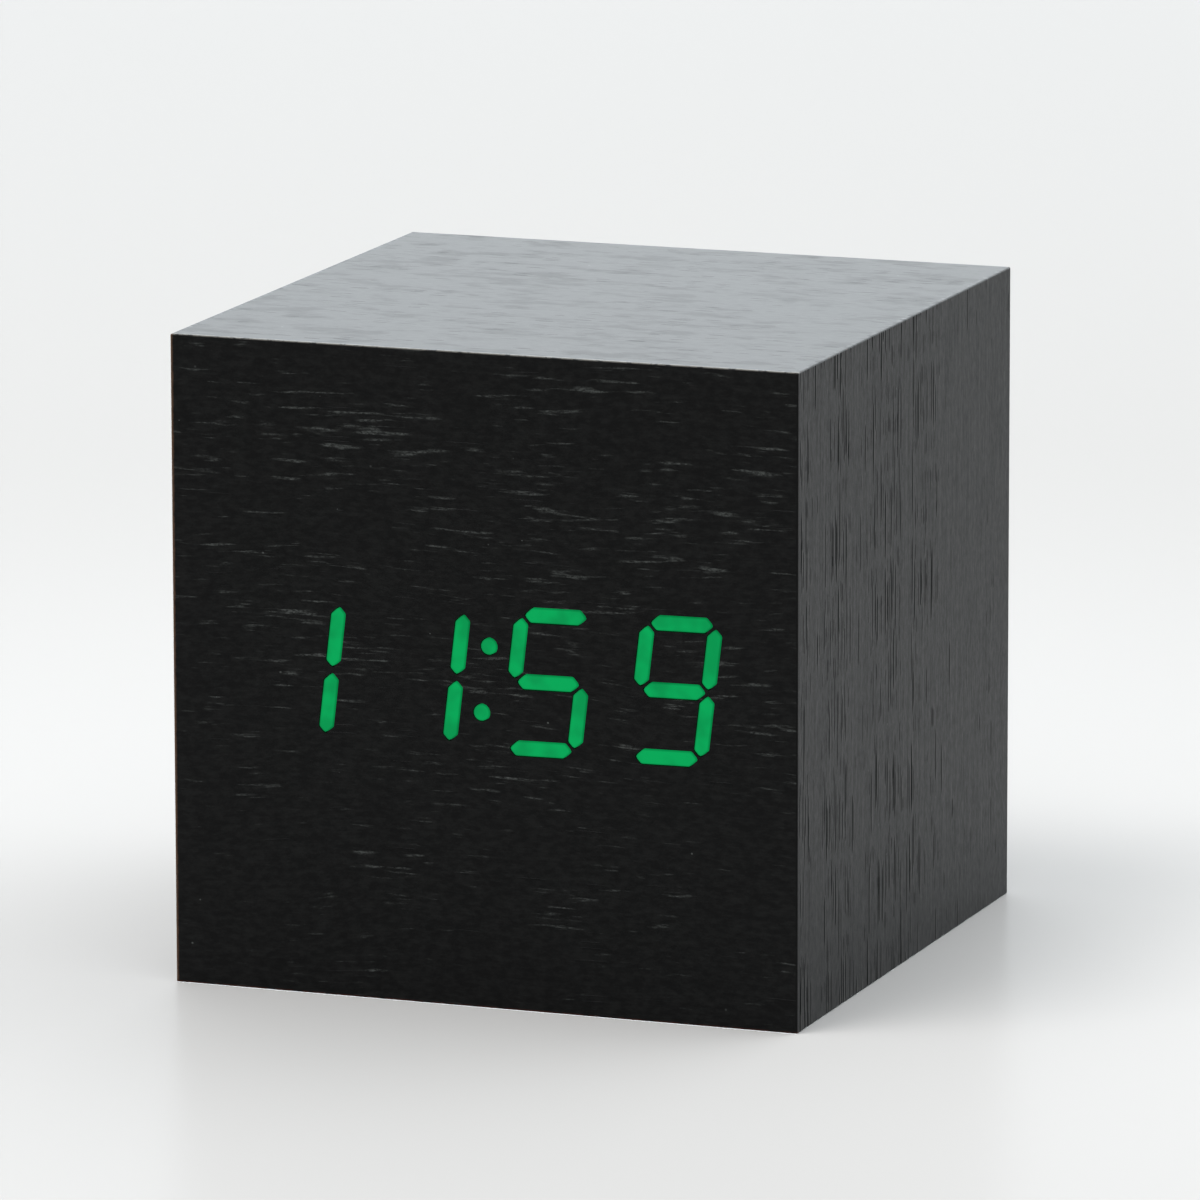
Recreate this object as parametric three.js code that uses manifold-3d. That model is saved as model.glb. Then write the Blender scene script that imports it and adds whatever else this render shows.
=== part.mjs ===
// A wooden cube clock: a veneered box of six boards with a four-digit segment
// display behind its face, three buttons and a power socket in a moulded panel
// at the back, and a battery compartment under its base.
// Millimetres, +Z up. The origin is the middle of the underside, the face looks
// along -Y, and +X is on the right of someone who reads the time.

import * as THREE from 'three';
import { RoundedBoxGeometry } from 'three/addons/geometries/RoundedBoxGeometry.js';
import { mergeVertices } from 'three/addons/utils/BufferGeometryUtils.js';
import Module from 'manifold-3d';

// Casing
const cubeSide = 62;
const boardThickness = 4;
const veneerThickness = 0.5;
const edgeRadius = 0.15;
const edgeSteps = 2;

// Gaps that every piece shares
const cutOverrun = 1;
const seatClearance = 0.2;
const holeClearance = 0.1;
const runningGap = 0.2;

// Digits and their strokes, drawn upright and then slanted. The row is as long as the
// window lets it be, which makes each digit 8.1 wide, 12.4 from the next.
const digitsShown = ['bc', 'bc', 'acdfg', 'abcdfg'];
const digitHeight = 14.1;
const digitSpacing = 4.3;
const windowLand = 1.73;
const strokeWidth = 1.45;
const strokeGap = 0.3;
const strokeCornerRadius = 0.32;
const slantDegrees = 7.4;
const rowTiltDegrees = 0.6;
const displayShiftX = 0.3;
const displayRise = 0.3;
const colonDotDiameter = 1.65;
const colonSpacing = 6.3;
const strokeClearance = 0.05;

// Segment reflector, light guide and the board behind them
const reflectorWall = 1.2;
const reflectorBrim = 2.4;
const reflectorCorner = 0.8;
const flangeThickness = 2;
const flangeCorner = 2;
const flangeSideGap = 1;
const flangeHeight = 33;
const pottingDepth = 0.8;
const pottingMargin = 0.6;
const wellTaper = 0.3;
const circuitThickness = 1.2;
const chipWidth = 0.9;
const chipHeight = 0.3;

// Screws: a pan head on a plain shank
const screwShank = 2;
const screwHead = 3.6;
const screwHeadHeight = 1.1;
const recessWidth = 0.5;
const recessLength = 1.9;
const recessDepth = 0.6;
const displayScrewInset = 3.6;
const displayScrewGrip = 3.2;

// Clock chip, ribbon and its sockets
const clockChipHeight = 8;
const clockChipDepth = 1.6;
const clockChipInset = 0.4;
const clockChipScrewGap = 0.1;
const clockChipRibbonGap = 3.5;
const ribbonSocketWidth = 9;
const ribbonSocketDepth = 3.6;
const ribbonSocketHeight = 3;
const ribbonWidth = 7.4;
const ribbonThickness = 0.7;
const ribbonFrontDrop = 4.5;
const ribbonPocketDepth = 1.2;
const ribbonSag = 14;

// Control panel at the back, 49.2 wide and 15.2 high: as long as the rear board leaves it,
// and as high as its power socket needs
const panelLand = 1.9;
const panelThickness = 1.5;
const panelCorner = 2;
const panelRecess = 1.5;
const panelLedge = 4;
const panelLedgeAcross = 1.8;
const panelRise = 0;
const panelRimWall = 0.9;
const panelRimDepth = 1.4;
const socketRimGap = 1.45;
const panelScrewInset = 2;
const panelScrewGrip = 4;

// Buttons and their switches. They share the room between the microphone and the power
// socket, and their widths are shares of the distance from one button to the next.
const buttonNames = ['set', 'up', 'down'];
const buttonRowEndGap = 1.15;
const buttonCapShare = 0.62;
const buttonFlangeShare = 0.8;
const switchShare = 0.8;
const plungerShare = 0.43;
const buttonProud = 0.6;
const buttonDish = 0.25;
const buttonFlangeThickness = 1.1;
const buttonTravel = 0.5;
const flangeGap = 0.3;
const switchHeight = 3.5;
const plungerLength = 2;
const plungerStand = 1.6;

// Control circuit board, its posts and what it carries
const controlBoardSideGap = 0.4;
const controlBoardEdgeGap = 0.3;
const postDiameter = 2.8;
const postInset = 1.3;
const boardScrewShank = 1.5;
const boardScrewGrip = 3.6;
const powerSocketPostGap = 1.05;
const powerSocketSize = 6.5;
const powerNoseDiameter = 5.4;
const powerNoseSetback = 0.2;
const powerBoreDiameter = 3.8;
const powerBoreDepth = 6.4;
const powerPinDiameter = 1.3;
const powerPinLength = 5.6;
const microphonePostGap = 0.6;
const microphoneDiameter = 3.8;
const microphoneLength = 2;
const soundHoleDiameter = 1.2;
const buzzerSideGap = 1.5;
const buzzerLength = 5;
const sensorDiameter = 2;
const sensorLegLength = 2.4;
const sensorLegDiameter = 1;
const sensorSocketGap = 1;

// Battery cells, tray and door. The tray is as large as the room leaves it, and its three
// cells then measure 10.5 by 44.5, the AAA size.
const trayEndGap = 1.15;
const trayFrontRoom = 8.4;
const cellCount = 3;
const cellSpacing = 0.6;
const cellNubDiameter = 3.8;
const cellNubLength = 1;
const cellShoulder = 0.6;
const cellClearance = 0.25;
const cellAboveDoor = 0.9;
const contactRoom = 1.9;
const trayWall = 1.2;
const traySideClearance = 0.3;
const cradleInset = 0.8;
const doorRecess = 0.8;
const doorThickness = 1.2;
const doorStopWidth = 0.8;
const doorStopHeight = 1.6;
const doorStopInset = 4;
const tabSpacing = 16;
const tabWidth = 5.6;
const tabReach = 1.1;
const tabRoot = 1.2;
const tabThickness = 1;
const lipThickness = 0.8;
const tabSwingRoom = 1.8;
const latchWidth = 8;
const latchLength = 8;
const latchSlot = 0.6;
const latchNibLength = 1.2;
const latchNibHeight = 1;
const latchNibReach = 0.1;
const gripRidgeCount = 3;
const gripRidgeWidth = 0.5;
const gripRidgePitch = 1.4;
const gripDepth = 0.4;
const earWidth = 12;
const earLength = 4.6;
const earThickness = 1.2;
const earRecess = 1.6;
const earScrewShank = 1.6;
const earScrewHead = 3.2;
const earScrewHeadHeight = 0.9;
const earScrewGrip = 2.6;

// Battery contacts and leads
const contactThickness = 0.4;
const contactInset = 1.25;
const contactSpacing = 3.1;
const contactBossDiameter = 3;
const contactGap = 0.3;
const leafWidth = 4;
const leafThickness = 0.35;
const tagWidth = 2.4;
const tagAboveTray = 2;
const leadDiameter = 1.2;
const leadRise = 4;
const leadSides = 6;
const leadSteps = 10;
const leadPostGap = 3.9;
const leadEdgeGap = 0.9;

// Roundness of turned and rounded outlines
const fineSides = 18;
const mediumSides = 16;
const coarseSides = 10;
const outlineSteps = 2;
const ribbonSteps = 12;

// Planes that the pieces share
const half = cubeSide / 2;
const coreHalf = half - veneerThickness;
const roomHalf = coreHalf - boardThickness;
const coreFloor = veneerThickness;
const coreTop = cubeSide - veneerThickness;
const roomFloor = coreFloor + boardThickness;
const roomTop = coreTop - boardThickness;
const frontBoardBack = -roomHalf;
const displayCentre = new THREE.Vector2(displayShiftX, half + displayRise);
const slantSlope = Math.tan(THREE.MathUtils.degToRad(slantDegrees));
const rowTilt = THREE.MathUtils.degToRad(rowTiltDegrees);
const rowWidth = 2 * (roomHalf - windowLand - reflectorWall);
const digitPitch = (rowWidth + digitSpacing - digitHeight * slantSlope) / digitsShown.length;
const digitWidth = digitPitch - digitSpacing;
const flangeBack = frontBoardBack + flangeThickness;
const pottingFront = flangeBack - pottingDepth;
const displayBoardBack = flangeBack + circuitThickness;
const panelFace = half - panelRecess;
const panelBack = panelFace - panelThickness;
const panelMiddle = half + panelRise;
const panelWidth = 2 * (roomHalf - panelLand);
const panelFrame = panelLedgeAcross + seatClearance + panelRimWall + socketRimGap;
const panelHeight = powerSocketSize + 2 * panelFrame;
const throughWidth = panelWidth - 2 * panelLedge;
const throughHeight = panelHeight - 2 * panelLedgeAcross;
const buttonStack = switchHeight + plungerStand + buttonFlangeThickness;
const controlBoardFace = panelBack - flangeGap - buttonStack;
const controlBoardBack = controlBoardFace - circuitThickness;
const controlBoardWidth = throughWidth - 2 * controlBoardSideGap;
const controlBoardHeight = throughHeight - 2 * controlBoardEdgeGap;
const postX = controlBoardWidth / 2 - postInset;
const postEdge = postX - postDiameter / 2;
const powerSocketX = postEdge - powerSocketPostGap - powerSocketSize / 2;
const microphoneX = microphonePostGap + microphoneDiameter / 2 - postEdge;
const buttonRowLow = microphoneX + microphoneDiameter / 2 + buttonRowEndGap;
const buttonRowHigh = powerSocketX - powerSocketSize / 2 - buttonRowEndGap;
const buttonPitch = (buttonRowHigh - buttonRowLow) / (buttonNames.length - 1 + buttonFlangeShare);
const middleButtonX = (buttonRowLow + buttonRowHigh) / 2;
const buttonDiameter = buttonPitch * buttonCapShare;
const buttonFlange = buttonPitch * buttonFlangeShare;
const switchSize = buttonPitch * switchShare;
const plungerDiameter = buttonPitch * plungerShare;
const buzzerRoom = postX - screwHead / 2 - ribbonSocketWidth / 2;
const buzzerDiameter = buzzerRoom - 2 * buzzerSideGap;
const buzzerX = -(ribbonSocketWidth + buzzerRoom) / 2;
const sensorX = (ribbonSocketWidth + sensorDiameter) / 2 + sensorSocketGap;
const trayHalfX = roomHalf - trayEndGap;
const trayHalfY = roomHalf - trayFrontRoom;
const trayRoomX = trayHalfX - trayWall;
const trayRoomY = trayHalfY - trayWall;
const cellLength = 2 * (trayRoomX - contactRoom);
const cellRowWidth = 2 * (trayRoomY - traySideClearance - cellClearance);
const cellPitch = (cellRowWidth + cellSpacing) / cellCount;
const cellDiameter = cellPitch - cellSpacing;
const contactHeight = cellDiameter - 2 * contactInset;
const contactWidth = cellPitch - contactSpacing;
const doorTop = doorRecess + doorThickness;
const cellHeight = doorTop + cellAboveDoor + cellDiameter / 2;
const trayRoof = cellHeight + cellDiameter / 2 + cellClearance;
const trayTop = trayRoof + trayWall;
const earScrewY = trayHalfY + earLength / 2;

const wasm = await Module();
wasm.setup();

// Solids: making, joining and cutting

function solidOf(geometry) {
  const bare = geometry.clone();
  bare.deleteAttribute('normal');
  bare.deleteAttribute('uv');
  const welded = mergeVertices(bare);
  const vertProperties = new Float32Array(welded.attributes.position.array);
  const triVerts = new Uint32Array(welded.index.array);
  return new wasm.Manifold(new wasm.Mesh({ numProp: 3, vertProperties, triVerts }));
}

function geometryOf(solid) {
  const mesh = solid.getMesh();
  const geometry = new THREE.BufferGeometry();
  geometry.setAttribute('position', new THREE.BufferAttribute(mesh.vertProperties, mesh.numProp));
  geometry.setIndex(new THREE.BufferAttribute(mesh.triVerts, 1));
  geometry.computeVertexNormals();
  return geometry;
}

function joined(solids) {
  return solids.reduce((whole, solid) => whole.add(solid));
}

function cut(stock, tools) {
  return tools.reduce((rest, tool) => rest.subtract(tool), stock);
}

// A span is a low and a high end along one axis.
function around(centre, width) {
  return [centre - width / 2, centre + width / 2];
}

function grown([low, high], margin) {
  return [low - margin, high + margin];
}

function block([xLow, xHigh], [yLow, yHigh], [zLow, zHigh]) {
  const box = new THREE.BoxGeometry(xHigh - xLow, yHigh - yLow, zHigh - zLow);
  box.translate((xLow + xHigh) / 2, (yLow + yHigh) / 2, (zLow + zHigh) / 2);
  return solidOf(box);
}

// An outline across X is drawn in Y and Z, across Y in X and Z, across Z in X and Y.
const xAxis = new THREE.Vector3(1, 0, 0);
const yAxis = new THREE.Vector3(0, 1, 0);
const zAxis = new THREE.Vector3(0, 0, 1);
const drawingPlanes = {
  x: new THREE.Matrix4().makeBasis(yAxis, zAxis, xAxis),
  y: new THREE.Matrix4().makeBasis(xAxis, zAxis, yAxis.clone().negate()),
  z: new THREE.Matrix4(),
};

function prism(axis, outline, [low, high]) {
  const options = { depth: high - low, steps: 1, bevelEnabled: false };
  const geometry = new THREE.ExtrudeGeometry(new THREE.Shape(outline), options);
  geometry.translate(0, 0, axis === 'y' ? -high : low);
  geometry.applyMatrix4(drawingPlanes[axis]);
  return solidOf(geometry);
}

function circle(diameter, [u, v], sides) {
  const points = [];
  for (let i = 0; i < sides; i += 1) {
    const angle = (2 * Math.PI * (i + 0.5)) / sides;
    const radius = diameter / 2;
    points.push(new THREE.Vector2(u + radius * Math.cos(angle), v + radius * Math.sin(angle)));
  }
  return points;
}

// Corners become short curves that leave at least a third of each side straight.
function roundedOutline(corners, radius, steps) {
  const points = [];
  corners.forEach((corner, i) => {
    const before = corners[(i + corners.length - 1) % corners.length].clone().sub(corner);
    const after = corners[(i + 1) % corners.length].clone().sub(corner);
    const opening = Math.abs(before.angleTo(after));
    const shortest = Math.min(before.length(), after.length());
    const reach = Math.min(radius / Math.tan(opening / 2), shortest / 3);
    const start = corner.clone().addScaledVector(before.normalize(), reach);
    const end = corner.clone().addScaledVector(after.normalize(), reach);
    points.push(...new THREE.QuadraticBezierCurve(start, corner, end).getPoints(steps));
  });
  return points;
}

function rectangle([uLow, uHigh], [vLow, vHigh]) {
  const corners = [[uLow, vLow], [uHigh, vLow], [uHigh, vHigh], [uLow, vHigh]];
  return corners.map(([u, v]) => new THREE.Vector2(u, v));
}

function roundedRectangle(uSpan, vSpan, radius) {
  return roundedOutline(rectangle(uSpan, vSpan), radius, outlineSteps);
}

// A profile of [radius, height] pairs turned about its own axis, which then points along +Y.
function turned(profile, sides) {
  const points = profile.map(([radius, height]) => new THREE.Vector2(radius, height));
  return new THREE.LatheGeometry(points, sides);
}

// Joins two outlines with the same number of points, the front one at the lower Y.
function loft(frontOutline, yFront, backOutline, yBack) {
  const count = frontOutline.length;
  const positions = [];
  frontOutline.forEach((point) => positions.push(point.x, yFront, point.y));
  backOutline.forEach((point) => positions.push(point.x, yBack, point.y));
  const index = [];
  for (let i = 0; i < count; i += 1) {
    const next = (i + 1) % count;
    index.push(i, count + i, count + next);
    index.push(i, count + next, next);
  }
  THREE.ShapeUtils.triangulateShape(frontOutline, []).forEach(([a, b, c]) => {
    index.push(a, b, c);
    index.push(count + a, count + c, count + b);
  });
  const geometry = new THREE.BufferGeometry();
  geometry.setAttribute('position', new THREE.Float32BufferAttribute(positions, 3));
  geometry.setIndex(index);
  return solidOf(geometry);
}

// Materials, one for each finish

function finish(color, roughness, metalness) {
  return new THREE.MeshStandardMaterial({ color, roughness, metalness });
}

const blackVeneer = finish(0x1b1b1c, 0.55, 0);
const fibreboard = finish(0x8a6b4a, 0.85, 0);
const blackPlastic = finish(0x161617, 0.45, 0);
const greyPlastic = finish(0x3a3b3d, 0.4, 0);
const litResin = finish(0x08a558, 0.35, 0);
const circuitGreen = finish(0x14502e, 0.4, 0);
const chipBlack = finish(0x101010, 0.5, 0);
const socketWhite = finish(0xd9d5c8, 0.5, 0);
const zincSteel = finish(0xb9bcc0, 0.3, 1);
const cellSleeve = finish(0x5b6168, 0.35, 0.6);
const redInsulation = finish(0xa81d1a, 0.5, 0);
const blackInsulation = finish(0x191919, 0.5, 0);
const ribbonGrey = finish(0x8d9094, 0.55, 0);

const clock = new THREE.Group();

function piece(name, solid, material) {
  const geometry = solid.isBufferGeometry ? solid : geometryOf(solid);
  const mesh = new THREE.Mesh(geometry, material);
  mesh.name = name;
  clock.add(mesh);
  return mesh;
}

// Pan-head screw with a cross recess, driven along +Y from a seat at y = 0.
function panScrew(shank, head, headHeight, length) {
  const profile = [[0, -headHeight], [head / 4, -headHeight], [head / 2, -headHeight / 2]];
  profile.push([head / 2, 0], [shank / 2, 0], [shank / 2, length - shank / 2], [0, length]);
  const body = solidOf(turned(profile, coarseSides));
  const depth = [-headHeight - cutOverrun, recessDepth - headHeight];
  const arms = [recessWidth, recessLength];
  const level = block(around(0, arms[1]), depth, around(0, arms[0]));
  const upright = block(around(0, arms[0]), depth, around(0, arms[1]));
  return cut(body, [level, upright]);
}

// Turns a screw that is driven along +Y so that it is driven the given way, and seats it.
function placeScrew(name, solid, [x, y, z], turnX) {
  const mesh = piece(name, solid, zincSteel);
  mesh.rotation.x = turnX;
  mesh.position.set(x, y, z);
}

// Digits: which strokes are lit, and where each stroke lies in its digit

const flatStroke = 'flat';
const uprightStroke = 'upright';
const strokeShares = {
  a: { across: 0, up: 1, lie: flatStroke },
  b: { across: 1, up: 0.5, lie: uprightStroke },
  c: { across: 1, up: -0.5, lie: uprightStroke },
  d: { across: 0, up: -1, lie: flatStroke },
  e: { across: -1, up: -0.5, lie: uprightStroke },
  f: { across: -1, up: 0.5, lie: uprightStroke },
  g: { across: 0, up: 0, lie: flatStroke },
};
const strokeReachX = digitWidth / 2 - strokeWidth / 2;
const strokeReachZ = digitHeight / 2 - strokeWidth / 2;

// Slants a point of the row, tilts the row by its small error and moves it onto the face.
function ontoFace(point) {
  const slanted = new THREE.Vector2(point.x + point.y * slantSlope, point.y);
  return slanted.rotateAround(new THREE.Vector2(), rowTilt).add(displayCentre);
}

function digitCentreX(place) {
  return (place - (digitsShown.length - 1) / 2) * digitPitch;
}

function strokeCentre(place, across, up) {
  return new THREE.Vector2(digitCentreX(place) + across * strokeReachX, up * strokeReachZ);
}

// A stroke is a six-sided bar with rounded corners, grown all round by a margin.
function strokeOutline(place, key, margin, steps) {
  const { across, up, lie } = strokeShares[key];
  const nodeSpacing = lie === flatStroke ? 2 * strokeReachX : strokeReachZ;
  const halfWidth = strokeWidth / 2 + margin;
  const halfLength = nodeSpacing / 2 - (strokeGap / 2 - margin) * Math.SQRT2;
  const shoulder = halfLength - halfWidth;
  const bar = [[halfLength, 0], [shoulder, halfWidth], [-shoulder, halfWidth]];
  bar.push([-halfLength, 0], [-shoulder, -halfWidth], [shoulder, -halfWidth]);
  const centre = strokeCentre(place, across, up);
  const corners = bar.map(([along, side]) => {
    const flat = lie === flatStroke;
    const local = flat ? new THREE.Vector2(along, side) : new THREE.Vector2(-side, along);
    return ontoFace(local.add(centre));
  });
  return roundedOutline(corners, strokeCornerRadius, steps);
}

function colonOutline(side, margin) {
  const centre = ontoFace(new THREE.Vector2(0, (side * colonSpacing) / 2));
  return circle(colonDotDiameter + 2 * margin, [centre.x, centre.y], mediumSides);
}

// Every light of the display: its outline at any margin, its centre, and whether it is lit.
function displayLights() {
  const lights = [];
  digitsShown.forEach((shown, place) => {
    Object.keys(strokeShares).forEach((key) => {
      const { across, up } = strokeShares[key];
      const lit = shown.includes(key);
      const steps = lit ? outlineSteps : 1;
      const centre = ontoFace(strokeCentre(place, across, up));
      lights.push({ outline: (margin) => strokeOutline(place, key, margin, steps), centre, lit });
    });
  });
  [1, -1].forEach((side) => {
    const centre = ontoFace(new THREE.Vector2(0, (side * colonSpacing) / 2));
    lights.push({ outline: (margin) => colonOutline(side, margin), centre, lit: true });
  });
  return lights;
}

const lights = displayLights();
const reflectorSpanX = around(displayCentre.x, rowWidth + 2 * reflectorWall);
const reflectorSpanZ = around(displayCentre.y, digitHeight + 2 * reflectorBrim);
const flangeSpanX = around(0, 2 * (roomHalf - flangeSideGap));
const flangeSpanZ = around(displayCentre.y, flangeHeight);

function displayScrewPlaces() {
  const places = [];
  [-1, 1].forEach((side) => {
    [-1, 1].forEach((level) => {
      const x = side * (roomHalf - flangeSideGap - displayScrewInset);
      const z = displayCentre.y + level * (flangeHeight / 2 - displayScrewInset);
      places.push([x, z]);
    });
  });
  return places;
}

// Round holes or posts along Y, one at each [x, z] place.
function roundsAlongY(places, diameter, span, sides) {
  return places.map((place) => prism('y', circle(diameter, place, sides), span));
}

function holesAlongY(places, diameter, span) {
  return roundsAlongY(places, diameter, span, coarseSides);
}

// Casing: four mitred boards round the room, a front and a rear board set into them,
// and a sheet of veneer on each face

// The board of the wrap that faces one way: 0 is the top, then a quarter turn each.
function mitredBoard(quarterTurns) {
  const outside = [[-coreHalf, coreHalf], [coreHalf, coreHalf]];
  const inside = [[roomHalf, roomHalf], [-roomHalf, roomHalf]];
  const outline = [...outside, ...inside].map(([x, z]) => {
    const corner = new THREE.Vector2(x, z);
    for (let turn = 0; turn < quarterTurns; turn += 1) {
      corner.set(-corner.y, corner.x);
    }
    return corner.add(new THREE.Vector2(0, half));
  });
  return prism('y', outline, [-coreHalf, coreHalf]);
}

function trayOpening(span) {
  const openingX = 2 * (trayHalfX + seatClearance);
  const openingY = 2 * (trayHalfY + seatClearance);
  return block(around(0, openingX), around(0, openingY), span);
}

function earPockets(span) {
  const reach = trayHalfY + earLength + seatClearance;
  return [block(around(0, earWidth + 2 * seatClearance), [-reach, reach], span)];
}

const trayScrewPlaces = [[0, -earScrewY], [0, earScrewY]];

function baseBoard() {
  const opening = trayOpening([-cutOverrun, roomFloor + cutOverrun]);
  const pockets = earPockets([-cutOverrun, earRecess + earThickness]);
  const pilots = trayScrewPlaces.map((place) => {
    const bore = circle(earScrewShank + holeClearance, place, coarseSides);
    return prism('z', bore, [0, roomFloor + cutOverrun]);
  });
  return cut(mitredBoard(2), [opening, ...pockets, ...pilots]);
}

function frontBoard() {
  const stock = block([-roomHalf, roomHalf], [-coreHalf, frontBoardBack], [roomFloor, roomTop]);
  const windowSpans = [grown(reflectorSpanX, seatClearance), grown(reflectorSpanZ, seatClearance)];
  const windowOutline = roundedRectangle(...windowSpans, reflectorCorner);
  const window = prism('y', windowOutline, [-coreHalf - cutOverrun, frontBoardBack + cutOverrun]);
  const pilotSpan = [frontBoardBack - displayScrewGrip - holeClearance, frontBoardBack + cutOverrun];
  const pilots = holesAlongY(displayScrewPlaces(), screwShank + holeClearance, pilotSpan);
  return cut(stock, [window, ...pilots]);
}

const panelSpanX = around(0, panelWidth);
const panelSpanZ = around(panelMiddle, panelHeight);
const throughSpanX = around(0, throughWidth);
const throughSpanZ = around(panelMiddle, throughHeight);
const panelScrewX = panelWidth / 2 - panelScrewInset;
const panelScrewPlaces = [[-panelScrewX, panelMiddle], [panelScrewX, panelMiddle]];

function panelPocket(span) {
  const spans = [grown(panelSpanX, seatClearance), grown(panelSpanZ, seatClearance)];
  return prism('y', roundedRectangle(...spans, panelCorner), span);
}

function rearBoard() {
  const stock = block([-roomHalf, roomHalf], [roomHalf, coreHalf], [roomFloor, roomTop]);
  const pocket = panelPocket([panelBack, coreHalf + cutOverrun]);
  const through = block(throughSpanX, [roomHalf - cutOverrun, coreHalf], throughSpanZ);
  const pilotSpan = [roomHalf - cutOverrun, coreHalf];
  const pilots = holesAlongY(panelScrewPlaces, screwShank + holeClearance, pilotSpan);
  return cut(stock, [pocket, through, ...pilots]);
}

// The sheets of the four sides are cut back to the clock's softened outer edges.
function softCube() {
  const cube = new RoundedBoxGeometry(cubeSide, cubeSide, cubeSide, edgeSteps, edgeRadius);
  cube.translate(0, 0, half);
  return solidOf(cube);
}

function frontVeneer(envelope) {
  const sheet = block([-half, half], [-half, -coreHalf], [0, cubeSide]).intersect(envelope);
  const openings = lights.filter((light) => light.lit).map((light) => {
    return prism('y', light.outline(strokeClearance), [-half - cutOverrun, -coreHalf + cutOverrun]);
  });
  return cut(sheet, openings);
}

function rearVeneer(envelope) {
  const sheet = block([-half, half], [coreHalf, half], [0, cubeSide]).intersect(envelope);
  return cut(sheet, [panelPocket([coreHalf - cutOverrun, half + cutOverrun])]);
}

function sideVeneer(side, envelope) {
  const xSpan = side < 0 ? [-half, -coreHalf] : [coreHalf, half];
  return block(xSpan, [-coreHalf, coreHalf], [0, cubeSide]).intersect(envelope);
}

function levelVeneer(zSpan) {
  return block([-coreHalf, coreHalf], [-coreHalf, coreHalf], zSpan);
}

function baseVeneer() {
  const span = [-cutOverrun, coreFloor + cutOverrun];
  return cut(levelVeneer([0, coreFloor]), [trayOpening(span), ...earPockets(span)]);
}

function buildCasing() {
  const envelope = softCube();
  piece('top_board', mitredBoard(0), fibreboard);
  piece('left_board', mitredBoard(1), fibreboard);
  piece('base_board', baseBoard(), fibreboard);
  piece('right_board', mitredBoard(3), fibreboard);
  piece('front_board', frontBoard(), fibreboard);
  piece('rear_board', rearBoard(), fibreboard);
  piece('front_veneer', frontVeneer(envelope), blackVeneer);
  piece('rear_veneer', rearVeneer(envelope), blackVeneer);
  piece('left_veneer', sideVeneer(-1, envelope), blackVeneer);
  piece('right_veneer', sideVeneer(1, envelope), blackVeneer);
  piece('top_veneer', levelVeneer([coreTop, cubeSide]), blackVeneer);
  piece('base_veneer', baseVeneer(), blackVeneer);
}

// Display: a black reflector with a tapered well for every stroke, a resin light guide
// cast into the wells, and the circuit board with one light chip under each well

function pottingOutline(margin) {
  const spanX = grown(reflectorSpanX, margin - pottingMargin);
  const spanZ = grown(reflectorSpanZ, margin - pottingMargin);
  return roundedRectangle(spanX, spanZ, reflectorCorner);
}

function segmentReflector() {
  const noseOutline = roundedRectangle(reflectorSpanX, reflectorSpanZ, reflectorCorner);
  const flangeOutline = roundedRectangle(flangeSpanX, flangeSpanZ, flangeCorner);
  const nose = prism('y', noseOutline, [-coreHalf, flangeBack]);
  const flange = prism('y', flangeOutline, [frontBoardBack, flangeBack]);
  const [wellFront, wellBack] = grown([-coreHalf, pottingFront], cutOverrun / 2);
  const wells = lights.map((light) => {
    return loft(light.outline(0), wellFront, light.outline(-wellTaper), wellBack);
  });
  const pocket = prism('y', pottingOutline(0), [pottingFront, flangeBack + cutOverrun]);
  const holeSpan = [frontBoardBack - cutOverrun, flangeBack + cutOverrun];
  const holes = holesAlongY(displayScrewPlaces(), screwShank + holeClearance, holeSpan);
  return cut(nose.add(flange), [pocket, ...wells, ...holes]);
}

// Lit bars run on through the veneer to the face, and the others stop behind it.
function lightGuide() {
  const potting = prism('y', pottingOutline(-strokeClearance), [pottingFront, flangeBack]);
  const bars = lights.map((light) => {
    const front = light.outline(-strokeClearance);
    const back = light.outline(-wellTaper - strokeClearance);
    const barEnd = flangeBack - chipHeight - 2 * strokeClearance;
    const bar = loft(front, strokeClearance - coreHalf, back, barEnd);
    if (!light.lit) {
      return bar;
    }
    return bar.add(prism('y', front, [-half, 2 * strokeClearance - coreHalf]));
  });
  const pockets = lights.map((light) => chipBlock(light, strokeClearance, cutOverrun));
  return cut(joined([potting, ...bars]), pockets);
}

function chipBlock(light, margin, overrun) {
  const xSpan = around(light.centre.x, chipWidth + 2 * margin);
  const zSpan = around(light.centre.y, chipWidth + 2 * margin);
  return block(xSpan, [flangeBack - chipHeight - margin, flangeBack + overrun], zSpan);
}

function displayCircuitBoard() {
  const outline = roundedRectangle(flangeSpanX, flangeSpanZ, flangeCorner);
  const board = prism('y', outline, [flangeBack, displayBoardBack]);
  const chips = lights.map((light) => chipBlock(light, 0, circuitThickness / 2));
  const holeSpan = [flangeBack - cutOverrun, displayBoardBack + cutOverrun];
  const holes = holesAlongY(displayScrewPlaces(), screwShank + holeClearance, holeSpan);
  return cut(joined([board, ...chips]), holes);
}

// The chip fills the room between a screw head and the ribbon's socket.
function clockChip() {
  const screwEdge = screwHead / 2 - (roomHalf - flangeSideGap - displayScrewInset);
  const xSpan = [screwEdge + clockChipScrewGap, -ribbonSocketWidth / 2 - clockChipRibbonGap];
  const ySpan = [displayBoardBack, displayBoardBack + clockChipDepth];
  const top = flangeSpanZ[1] - clockChipInset;
  return block(xSpan, ySpan, [top - clockChipHeight, top]);
}

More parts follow.
